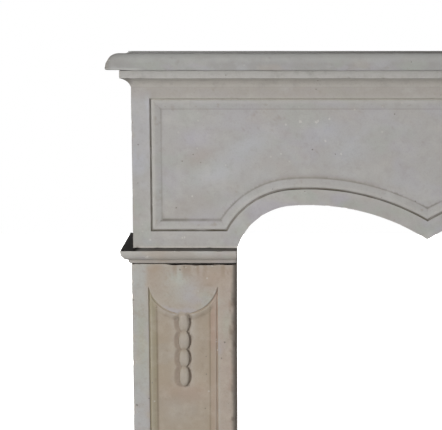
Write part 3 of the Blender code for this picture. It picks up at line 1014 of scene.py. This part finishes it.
def hues(local, seed):
    # the faint lilac, green and beige casts of old limestone, in slanting drifts
    drift = local * (1, 1, 1.7) + np.outer(local[:, 0], (0, 0, 0.25))
    return [("#a5a1a9", 0.6 * cloud(drift, 0.070, seed + 30, 0.1)),
            ("#9fa49b", 0.5 * cloud(drift, 0.055, seed + 34, 0.1)),
            ("#a89d93", 0.35 * cloud(drift, 0.080, seed + 38, 0.05)),
            ("#aeaeb1", 0.4 * cloud(drift, 0.045, seed + 40))]


# Pale and dark drifts on the frieze's field: colour, strength, place across and up, half width and height
fieldDrifts = (
    ("#b3b4b8", 0.6, -0.437, 0.830, 0.050, 0.024),
    ("#aaa6ae", 0.5, -0.480, 0.905, 0.036, 0.020),
    ("#aeb0b5", 0.6, -0.375, 0.888, 0.045, 0.022),
    ("#a1968e", 0.5, -0.474, 0.865, 0.030, 0.018),
    ("#a09a94", 0.6, -0.500, 0.765, 0.070, 0.028),
    ("#a9a9b0", 0.6, -0.215, 0.915, 0.035, 0.025),
    ("#abadb2", 0.5, -0.165, 0.880, 0.035, 0.028),
)


def lintelZones(local, seed):
    x, y, z = local.T
    bottom = lintelLow[2]
    side, head, base, fromArch = friezeInsets(x, z)
    away = np.minimum.reduce([side, head, base, fromArch])
    onFace = (y < friezeFront + 0.012) * (z < hollowFoot)
    fillet = smooth(z, filletFoot - 0.001, filletFoot + 0.001)
    hollow = smooth(z, hollowFoot - 0.002, hollowFoot + 0.003) * (1 - fillet)
    headBandShade = smooth(-head, -0.006, 0) * (1 - fillet) * (1 - hollow)
    arches = smooth(archOffset(x, z), 0.0045, 0.0005) * smooth(y, friezeFront + 0.001, friezeFront + 0.012)
    arches = arches * (0.75 + 0.25 * softNoise(local, 0.07, seed + 51))
    stile = smooth(-side, -0.006, 0.004) * smooth(head, -0.022, 0.012) * onFace

    def line(start, end):
        # a thin band inside the panel's edge
        return smooth(away, start - 0.0006, start) * smooth(away, end + 0.0008, end) * onFace

    def drift(acrossAt, height, wideBy, highBy):
        # a slanting patch on the field
        rise = z - height - 0.3 * (x - acrossAt)
        return np.exp(-((x - acrossAt) / wideBy) ** 2 - (rise / highBy) ** 2) * onFace * (away > inner)

    # the line where the mould meets the field, darkened as dirt and as painted shade, and the painted shade
    # on the field over the arches' crowns
    inner = lintelLook["mould"]
    baseLine = 0.7 * line(inner - 0.0034, inner + 0.0002) * (base == away)
    innerLine = np.maximum(line(inner - 0.0012, inner + 0.0004), baseLine)
    overCrown = smooth(away, inner + 0.013, inner) * (away > inner - 0.001) * (fromArch == away)
    overCrown = overCrown * smooth(z, 0.795, 0.815) * onFace

    # strengths at the panel's ends, its head and its base, and last along the arches: of the dirt and
    # painted shade in the quirk and at the inner line, and of the rubbed and highlit crest
    nearest = [side == away, head == away, base == away]
    outerDirtAndShade = np.select(nearest, [0.85, 0.0, 0.98], 0.95)
    innerDirtAndShade = np.select(nearest, [0.2, 0.2, 0.95], 0.7)
    rubbedAndHighlit = np.select(nearest, [0.5, 0.2, 0.2], 0.2)
    uneven = 0.65 + 0.5 * softNoise(local, 0.02, seed + 45)
    return hues(local, seed) + [
        ("#a7a5a3", 0.5 * (away > 0) * onFace),
        # painted shade on the band under the cornice
        ("#a19b94", 0.75 * headBandShade),
        # painted light: the hollow is lightened against the shade under the shelf
        ("#b9b4ad", 0.9 * hollow),
        # painted light: the fillet is lightened against the shadow of the shelf's nose
        ("#b4b2ae", 0.9 * fillet),
        ("#8c8984", fillet * cloud(local * (1, 1, 0.3), 0.010, seed + 49, -0.15) * 0.5),
        ("#acacb1", stile * (0.45 + 0.5 * cloud(local, 0.05, seed + 41, 0.2)) * smooth(z, 0.80, 0.86)),
        ("#a09c90", 0.5 * stile * cloud(local, 0.03, seed + 43) * smooth(z, 0.83, 0.76)),
        ("#8f887c", 0.55 * cloud(local, 0.012, seed + 47, -0.22) * onFace),
        # the mould's crest, pale where rubbed and with a painted highlight
        ("#b6b3ad", rubbedAndHighlit * line(0.0044, 0.0100)),
        # painted highlight: the quirk under the panel's head is lightened against its shadow
        ("#c9c5bb", 0.6 * (head == away) * line(-0.0002, 0.0030)),
        # the quirk beside the outer step, darkened as dirt and as painted shade
        ("#5d5749", outerDirtAndShade * uneven * line(-0.0004, 0.0024)),
        # the inner line, darkened as dirt and as painted shade
        ("#67615a", innerDirtAndShade * uneven * innerLine),
        # painted shade on the field over the arches' crowns
        ("#8d877e", 0.5 * overCrown),
        # painted highlight along the lintel's lower arris
        ("#c8c3bb", 0.9 * smooth(z, bottom + 0.0065, bottom + 0.0025) * onFace),
        *[(hexColour, strength * drift(*spot)) for hexColour, strength, *spot in fieldDrifts],
        # painted shade on the outer front arris
        ("#7d7973", 0.6 * outerRimShade(friezeEnd - np.abs(x), y, friezeFront) * (z < filletFoot)),
        # soot and painted shade on the arches' edges and soffits
        ("smoke", 0.8 * arches),
    ]


def shelfZones(local, seed):
    x, y, z = local.T
    low = shelfLow[2]
    nose = smooth(shelfLow[1] - y, -0.035, -0.026)
    leftEndShade = smooth(-x, 0.59, 0.655)
    fromMitre = (x - shelfLow[0]) - (y - shelfLow[1])
    mitreShade = smooth(fromMitre, 0.0060, 0.0015) * smooth(fromMitre, -0.020, -0.006)
    return hues(local, seed) + [
        # painted light on the upper, upward-facing part of the nose
        ("#a6a6a4", 0.8 * nose * smooth(z, low + 0.012, low + 0.026)),
        ("#989793", 0.4 * cloud(local, 0.03, seed + 41, -0.05)),
        ("#87837d", 0.6 * cloud(local, 0.011, seed + 44, -0.25)),
        # painted shade on the shelf's left end, which turns away from the light
        ("#8b8a85", 0.5 * leftEndShade * smooth(z, low + 0.004, low + 0.012)),
        ("#6e6c67", 0.85 * smooth(-x, 0.645, 0.6580)),
        # painted shade across the front left corner, where the front turns into the return
        ("#605e5a", 0.8 * mitreShade * smooth(-x, 0.630, 0.640)),
        # painted highlight on the nose's lower arris at the left end
        ("#b4b3b0", 0.75 * nose * smooth(-x, 0.575, 0.60) * smooth(z, low + 0.0065, low + 0.003)),
    ]


def capitalZones(local, seed):
    x, y, _ = local.T
    across = x - capitalLow[0]
    return hues(local, seed) + [
        ("#a3978a", 0.7 * cloud(local, 0.045, seed + 41, 0.1)),
        ("#aba8a3", 0.7 * smooth(across, 0.045, 0.015)),
        ("#8e8478", 0.6 * cloud(local, 0.010, seed + 44, -0.2)),
        # painted shade on the outer front arris
        ("#7d7973", 0.5 * outerRimShade(across, y, capitalLow[1])),
        # soot and painted shade towards the opening
        ("smoke", 0.8 * revealEdge(across, capitalHigh[0] - capitalLow[0])),
    ]


def jambZones(local, seed):
    x, y, z = local.T
    top, front = jambHigh[2], jambLow[1]
    wide = jambHigh[0] - jambLow[0]
    across = x - jambLow[0] + 0.004 * softNoise(local, 0.025, seed + 50)
    onFace = y < front + 0.014
    sunk = smooth(y, front + 0.0008, front + 0.0022) * onFace * (across > 0.02) * (across < wide - 0.02)
    outerEdge, innerEdge = jambLook["margin"], wide - jambLook["innerMargin"]
    outerStile = smooth(across, outerEdge + 0.004, outerEdge - 0.010)
    outerMould = sunk * smooth(across, outerEdge + 0.019, outerEdge + 0.013)
    innerMould = sunk * smooth(across, innerEdge - 0.019, innerEdge - 0.013)

    def patch(acrossAt, height, wideBy, highBy):
        # a soft round patch on the face
        return np.exp(-((across - acrossAt) / wideBy) ** 2 - ((z - height) / highBy) ** 2) * onFace

    streaks = smooth(softNoise(local * (1, 1, 0.12), 0.0075, seed + 52), 0.05, 0.55)
    drips = streaks * smooth(z, top - 0.045, top - 0.006) * smooth(across, 0.03, 0.06) * onFace
    lime = smooth(z, top - 0.030, top - 0.012) * smooth(across, 0.05, 0.08) * onFace
    edge = x - jambLow[0] + 0.0028 * roughNoise(local * (1, 1, 0.5), 0.009, seed + 62)
    reveal = smooth(edge, wide - 0.0115, wide - 0.0050)
    bruised = smooth(edge, wide - 0.0150, wide - 0.0110) * smooth(z, 0.60, 0.57) * onFace
    bruised = bruised * cloud(local * (1, 1, 0.5), 0.0075, seed + 71, 0.02)
    # painted shade: a dark line where each mould falls to the field, stronger on the outer mould, whose fall
    # faces away from the light
    fromSide = np.minimum(x - panelOuter, panelInner - x)
    innerLine = smooth(np.abs(fromSide - jambLook["mould"]), 0.0017, 0.0006) * onFace
    innerLine = innerLine * (z < apronLow + 0.02) * np.where(across < wide / 2, 0.9, 0.7)
    highest, lowest = beadLook["necks"][0], beadLook["necks"][-1]
    drop = smooth(np.abs(x - stem), 0.0125, 0.0105) * smooth(z, highest - 0.0030, highest - 0.0070)
    drop = drop * (z > lowest - 0.0008) * onFace
    # painted shade in the bed round the beads, and a painted shadow of the beads on its side towards the
    # opening
    bed = smooth(y, front + jambLook["sunk"] + 0.0005, front + jambLook["sunk"] + 0.0013) * onFace
    bed = bed * (np.abs(x - stem) < 0.03) * (z > lowest - 0.01)
    return hues(local, seed) + [
        ("#a3988c", 0.75 * smooth(across, 0.022, 0.040) * smooth(z, 0.575, 0.60)),
        ("#aaaba9", 0.85 * outerStile * (0.75 + 0.25 * cloud(local, 0.04, seed + 41, 0.2))),
        ("#9e9180", 0.9 * sunk),
        ("#9d958a", 0.5 * sunk * cloud(local, 0.05, seed + 56, 0.1)),
        ("#989079", 0.75 * outerMould),
        ("#9a897a", 0.65 * innerMould),
        ("#a99b90", 0.65 * smooth(across, innerEdge, innerEdge + 0.008)),
        ("#a9aaa3", 0.9 * patch(0.098, 0.606, 0.027, 0.040)
         * (0.6 + 0.6 * cloud(local, 0.03, seed + 64, 0.3))),
        ("#a8a6a8", 0.5 * patch(0.120, 0.580, 0.024, 0.022)),
        ("#9d8d7d", 0.8 * patch(0.056, 0.622, 0.022, 0.024)
         * (0.4 + 0.8 * cloud(local, 0.02, seed + 66, 0.3))),
        ("#a39384", 0.8 * patch(0.170, 0.615, 0.030, 0.030)),
        ("#8d7d6c", 0.65 * drips),
        ("#b5aea4", 0.6 * lime * cloud(local, 0.008, seed + 68, -0.1)),
        ("#8d7f70", 0.5 * cloud(local, 0.011, seed + 58, -0.2) * onFace),
        ("#a0897b", 0.6 * smooth(across, wide - 0.022, wide - 0.010) * cloud(local, 0.035, seed + 60, 0.1)),
        # painted shade on the outer front arris
        ("#7c7a76", 0.65 * outerRimShade(x - jambLow[0], y, front)),
        ("#a0877b", 0.45 * innerMould * smooth(z, 0.44, 0.48)),
        ("#9fa092", 0.75 * patch(0.020, 0.480, 0.011, 0.080)),
        ("#a1a397", 0.6 * patch(0.200, 0.513, 0.010, 0.028)),
        ("#a38d7f", 0.5 * sunk * patch(0.120, 0.362, 0.050, 0.024)),
        ("#a39c92", 0.5 * sunk * patch(0.090, 0.312, 0.035, 0.026)),
        ("#756659", 0.75 * bruised),
        # painted shade where the mould meets the field
        ("#80715d", innerLine),
        ("#9c9183", 0.85 * drop),
        # painted shade in the bed, then a painted shadow on its inner side
        ("#94867a", 0.75 * bed),
        ("#6f6257", 0.6 * bed * (x > stem)),
        # soot and painted shade on the reveal, which faces away from the light
        ("smoke", 0.60 * reveal),
    ]


def footZones(local, seed):
    x, _, z = local.T
    across = x - footLow[0]
    return hues(local, seed) + [
        ("#9c8f80", 0.7 * cloud(local, 0.06, seed + 41, 0.15)),
        ("#a4a29d", 0.65 * smooth(across, 0.050, 0.015)),
        ("#8a7f72", 0.6 * smooth(z, 0.045, 0.0)),
        # soot and painted shade towards the opening
        ("smoke", 0.8 * revealEdge(across, footHigh[0] - footLow[0])),
    ]


# Materials

def addNode(tree, kind, sockets, output=0, **settings):
    # a node with its settings, whose sockets take values or links from other nodes
    node = tree.nodes.new(kind)
    for name, value in settings.items():
        setattr(node, name, value)
    for name, value in sockets.items():
        if isinstance(value, bpy.types.NodeSocket):
            tree.links.new(value, node.inputs[name])
        else:
            node.inputs[name].default_value = value
    return node.outputs[output]


# Single shells, chips and holes: places across and up on the front, and sizes in millimetres
paleMarks = (
    (-0.265, 0.939, 3.0), (-0.233, 0.938, 2.6), (-0.229, 0.940, 2.2), (-0.206, 0.945, 2.0),
    (-0.295, 0.933, 1.8), (-0.305, 0.872, 1.6), (-0.181, 0.872, 2.0), (-0.213, 0.899, 2.2),
    (-0.489, 0.784, 1.8), (-0.577, 0.693, 2.0), (-0.510, 0.697, 1.8), (-0.505, 0.698, 1.8),
    (-0.584, 0.659, 2.2), (-0.581, 0.661, 2.6), (-0.524, 0.673, 1.6), (-0.482, 0.636, 1.4),
    (-0.448, 0.638, 1.5), (-0.465, 0.641, 1.3), (-0.503, 0.634, 1.3), (-0.457, 0.640, 1.5),
)
darkMarks = (
    (-0.471, 0.854, 1.5), (-0.486, 0.871, 1.2), (-0.599, 0.892, 1.8), (-0.240, 0.881, 1.6),
    (-0.193, 0.872, 1.3), (-0.522, 0.760, 1.6), (-0.613, 0.565, 1.8), (-0.609, 0.336, 2.2),
    (-0.422, 0.474, 1.9), (-0.429, 0.439, 1.7), (-0.583, 0.351, 1.5), (-0.515, 0.630, 1.6),
)

limestoneLook = {
    # soft patches: millimetres from one to the next, and the stretch of the noise over which they show
    "pale": {"size": 36, "detail": 4, "roughness": 0.6, "range": (0.50, 0.72)},
    "dull": {"size": 19, "detail": 5, "roughness": 0.65, "range": (0.50, 0.76)},
    "soot": {"size": 14, "detail": 4, "roughness": 0.6, "range": (0.0, 0.32)},
    # real grains are finer, and are drawn this coarse so that they show
    "grain": {"size": 3.5, "detail": 3, "roughness": 0.6, "range": (0.5, 0.8)},
    # round spots: millimetres between them, radius as a share of that, and how many are drawn
    "shell": {"spacing": 19, "size": 0.13, "drawn": 0.20},
    "pit": {"spacing": 23, "size": 0.075, "drawn": 0.22},
    "strength": {
        "pale": 0.36, "dull": 0.44, "grain": 0.28, "shell": 0.45, "mark": 0.55, "pit": 0.7,
        "worn": 0.22, "chip": 0.7, "grimeAndShade": 0.55,
    },
    # round a mark, in metres: what the grain adds, where the mark is gone, and where it is full
    "ragged": (0.005, 0.0029, 0.0021),
    "shine": 0.25,  # of clean stone, while soot has none
    "polish": (0.80, 0.92),  # roughness between and on the grains
}


def honedLimestone(name, colours):
    # old honed limestone: dry and dull, mottled, with pale bits of shell, small pits, soot on its ledges,
    # and dirt, soot and painted shade in its hollows and towards the opening
    look = limestoneLook
    material = bpy.data.materials.new(name)
    material.use_nodes = True
    tree = material.node_tree
    shader = tree.nodes["Principled BSDF"]
    at = addNode(tree, "ShaderNodeTexCoord", {}, "Object")
    front = addNode(tree, "ShaderNodeVectorMath", {0: at, 1: (1, 0, 1)}, operation="MULTIPLY")

    def mottle(part):
        # soft patches, as their raw lumps and as a share from 0 to 1
        lumps = addNode(tree, "ShaderNodeTexNoise", {
            "Vector": at, "Scale": 1000 / part["size"], "Detail": part["detail"],
            "Roughness": part["roughness"]}, "Fac")
        low, high = part["range"]
        shown = {"Value": lumps, "From Min": low, "From Max": high}
        return lumps, addNode(tree, "ShaderNodeMapRange", shown)

    def flecks(part):
        # scattered round spots, only some of which are drawn
        size, least = part["size"], 1 - part["drawn"]
        cells = {"Vector": at, "Scale": 1000 / part["spacing"]}
        distance = addNode(tree, "ShaderNodeTexVoronoi", cells, "Distance")
        spot = {"Value": distance, "From Min": size, "From Max": size / 2}
        spot = addNode(tree, "ShaderNodeMapRange", spot)
        lot = addNode(tree, "ShaderNodeSeparateColor", {"Color": distance.node.outputs["Color"]})
        drawn = {"Value": lot, "From Min": least, "From Max": least + 0.02}
        drawn = addNode(tree, "ShaderNodeMapRange", drawn)
        return addNode(tree, "ShaderNodeMath", {0: spot, 1: drawn}, operation="MULTIPLY")

    def marksAt(spots):
        # 1 on any of the spots, whose outlines the grain makes ragged
        near = 1.0
        for x, z, size in spots:
            place = {0: front, 1: (x, 0, z)}
            apart = addNode(tree, "ShaderNodeVectorMath", place, "Value", operation="DISTANCE")
            outside = addNode(tree, "ShaderNodeMath", {0: apart, 1: size / 1000}, operation="SUBTRACT")
            near = addNode(tree, "ShaderNodeMath", {0: near, 1: outside}, operation="MINIMUM")
        byGrain, gone, full = look["ragged"]
        near = addNode(tree, "ShaderNodeMath", {0: grain, 1: byGrain, 2: near}, operation="MULTIPLY_ADD")
        return addNode(tree, "ShaderNodeMapRange", {"Value": near, "From Min": gone, "From Max": full})

    _, pale = mottle(look["pale"])
    _, dull = mottle(look["dull"])
    _, sootPatches = mottle(look["soot"])
    grain, grains = mottle(look["grain"])
    pit = {0: marksAt(darkMarks), 1: flecks(look["pit"])}
    pit = addNode(tree, "ShaderNodeMath", pit, operation="MAXIMUM")

    # what wear, dirt, soot and painted shade have left on the mesh
    left = {mark: addNode(tree, "ShaderNodeAttribute", {}, "Fac", attribute_name=mark)
            for mark in ("arris", "chip", "creviceDirtAndShade", "ledge", "smoke")}

    # the colours, one over the other
    layers = {
        "pale": pale, "dull": dull, "grain": grains, "shell": flecks(look["shell"]),
        "mark": marksAt(paleMarks), "pit": pit, "worn": left["arris"], "chip": left["chip"],
        # the hollows are darkened as dirt and as painted shade
        "grimeAndShade": left["creviceDirtAndShade"],
    }
    colour = addNode(tree, "ShaderNodeAttribute", {}, "Color", attribute_name="ground")
    for layer, where in layers.items():
        share = addNode(tree, "ShaderNodeMath", {0: where, 1: look["strength"][layer]}, operation="MULTIPLY")
        mix = {"Color1": colour, "Color2": linear(colours[layer]), "Fac": share}
        colour = addNode(tree, "ShaderNodeMixRGB", mix)
    # soot on the ledges, with soot and painted shade towards the opening
    soot = addNode(tree, "ShaderNodeMath", {0: left["ledge"], 1: sootPatches}, operation="MULTIPLY")
    soot = addNode(tree, "ShaderNodeMath", {0: soot, 1: left["smoke"]}, operation="MAXIMUM")
    mix = {"Color1": colour, "Color2": linear(colours["soot"]), "Fac": soot}
    colour = addNode(tree, "ShaderNodeMixRGB", mix)

    shine = addNode(tree, "ShaderNodeMapRange", {"Value": soot, "To Min": look["shine"], "To Max": 0})
    fine, coarse = look["polish"]
    polish = addNode(tree, "ShaderNodeMapRange", {
        "Value": grain, "From Min": 0.35, "From Max": 0.65, "To Min": fine, "To Max": coarse})
    bumps = addNode(tree, "ShaderNodeBump", {"Strength": 0.30, "Distance": 0.0006, "Height": grain})
    bumps = addNode(tree, "ShaderNodeBump", {
        "Strength": 0.5, "Distance": 0.001, "Height": pit, "Normal": bumps}, invert=True)
    tree.links.new(colour, shader.inputs["Base Color"])
    tree.links.new(shine, shader.inputs["Specular IOR Level"])
    tree.links.new(polish, shader.inputs["Roughness"])
    tree.links.new(bumps, shader.inputs["Normal"])
    return material


greyStone = {
    "pale": "#b6b4b0", "dull": "#96928c", "grain": "#8c8882", "shell": "#c2beb7", "mark": "#c6c3be",
    "pit": "#6b665f", "worn": "#bab6b0", "chip": "#aca79f", "grimeAndShade": "#69645a", "soot": "#1e1c1a",
}
coolStone = dict(greyStone, worn="#a6a39f", chip="#a19d97", soot="#4b4844")
warmStone = dict(greyStone, pale="#b7ada0", dull="#94897b", grain="#8b7f71", chip="#a69c90",
                 grimeAndShade="#675f50", soot="#2a2622")

greyLimestone = honedLimestone("greyLimestoneHoned", greyStone)
coolLimestone = honedLimestone("smokedLimestoneHoned", coolStone)
warmLimestone = honedLimestone("stainedLimestoneHoned", warmStone)

settle("mantelShelf", shelfStone(), "mantel_shelf", coolLimestone)
print("shelf done")
settle("lintelBlock", lintelStone(), "lintel", greyLimestone)
print("lintel done")

# The pairs: the right stone is the left one mirrored, with its own wear and stains
for maker, look, zones, piece, node, slot, material in (
    (capitalStone, capitalLook, capitalZones, "capital", "capital", "grey_limestone", greyLimestone),
    (jambStone, jambLook, jambZones, "jamb", "jamb", "warm_limestone", warmLimestone),
    (footStone, footLook, footZones, "footBlock", "foot_block", "warm_limestone", warmLimestone),
):
    mesh = maker()
    twin = mirrorMesh(mesh, f"{piece}Twin")
    twinLook = dict(look, seed=look["seed"] + 100, marks=[])
    settle(f"{piece}Left", finishStone(mesh, look, -1, zones), f"{node}_left", material)
    settle(f"{piece}Right", finishStone(twin, twinLook, 1, zones), f"{node}_right", material)
    print(piece, "pair done")


# The floor, the light and the camera

floorLook = {
    "reach": 7,  # to each side and to the front, in metres
    "rear": 3.4,
    "glow": 0.92,
}


def makeFloor():
    # a pale seamless floor, bright enough to look white behind the stone, which it throws no light on
    mesh = bpy.data.meshes.new("studioFloor")
    reach, rear = floorLook["reach"], floorLook["rear"]
    corners = [(-reach, -reach, 0), (reach, -reach, 0), (reach, rear, 0), (-reach, rear, 0)]
    mesh.from_pydata(corners, [], [(0, 1, 2, 3)])
    paper = bpy.data.materials.new("studioPaper")
    paper.use_nodes = True
    shader = paper.node_tree.nodes["Principled BSDF"]
    shader.inputs["Base Color"].default_value = linear("#f2f2f1")
    shader.inputs["Roughness"].default_value = 0.95
    shader.inputs["Emission Color"].default_value = (1, 1, 1, 1)
    shader.inputs["Emission Strength"].default_value = floorLook["glow"]
    mesh.materials.append(paper)
    floor = bpy.data.objects.new("studioFloor", mesh)
    floor.visible_diffuse = False
    scene.collection.objects.link(floor)


makeFloor()

lights = {
    # name: place, aimed at, width and height in metres, watts
    "key": ((-3.2, -3.1, 0.95), (-0.1, 0, 0.75), (1.2, 1.2), 91),
    "front": ((0.3, -3.6, 1.3), (0, 0, 0.75), (3.2, 2.4), 43.5),
    "high": ((0.2, -2.4, 2.9), (0, 0, 0.8), (3.0, 1.5), 19),
    "low": ((-0.2, -1.9, 0.06), (-0.1, 0, 0.7), (2.6, 0.5), 14),
    "right": ((4.0, 0.6, 1.4), (0, 0, 0.6), (2.0, 2.0), 55),
    "rear": ((-1.2, 4.2, 2.0), (0, 0, 0.6), (3.0, 2.0), 150),
    "top": ((0, 0.2, 4.2), (0, 0, 0.6), (2.5, 2.5), 26),
}
for name, (place, aim, size, power) in lights.items():
    lamp = bpy.data.lights.new(name, "AREA")
    lamp.shape = "RECTANGLE"
    lamp.size, lamp.size_y = size
    lamp.energy = power
    holder = bpy.data.objects.new(name, lamp)
    holder.location = place
    holder.rotation_euler = (Vector(aim) - Vector(place)).to_track_quat("-Z", "Y").to_euler()
    holder.visible_camera = False
    scene.collection.objects.link(holder)

world = bpy.data.worlds.new("studioWorld")
scene.world = world
world.use_nodes = True
world.node_tree.nodes["Background"].inputs["Color"].default_value = (1, 1, 1, 1)
world.node_tree.nodes["Background"].inputs["Strength"].default_value = 1.0
world.cycles_visibility.diffuse = False
scene.view_settings.view_transform = "Standard"

view = {
    "place": (-0.369, -2.167, 1.132),
    "pitch": 7.41,  # degrees down
    "focal": 1030,  # in pixels of a 442 pixel wide photograph
    "wide": 442,
    "high": 430,
    "centre": (250, 161),  # the principal point, in the same pixels
}
camera = bpy.data.cameras.new("camera")
camera.sensor_width = 36
camera.sensor_fit = "HORIZONTAL"
camera.lens = view["focal"] * camera.sensor_width / view["wide"]
camera.shift_x = (view["wide"] / 2 - view["centre"][0]) / view["wide"]
camera.shift_y = (view["centre"][1] - view["high"] / 2) / view["wide"]
eye = bpy.data.objects.new("camera", camera)
eye.location = view["place"]
eye.rotation_euler = (math.radians(90 - view["pitch"]), 0, 0)
scene.collection.objects.link(eye)
scene.camera = eye
print("floor, light and camera done")
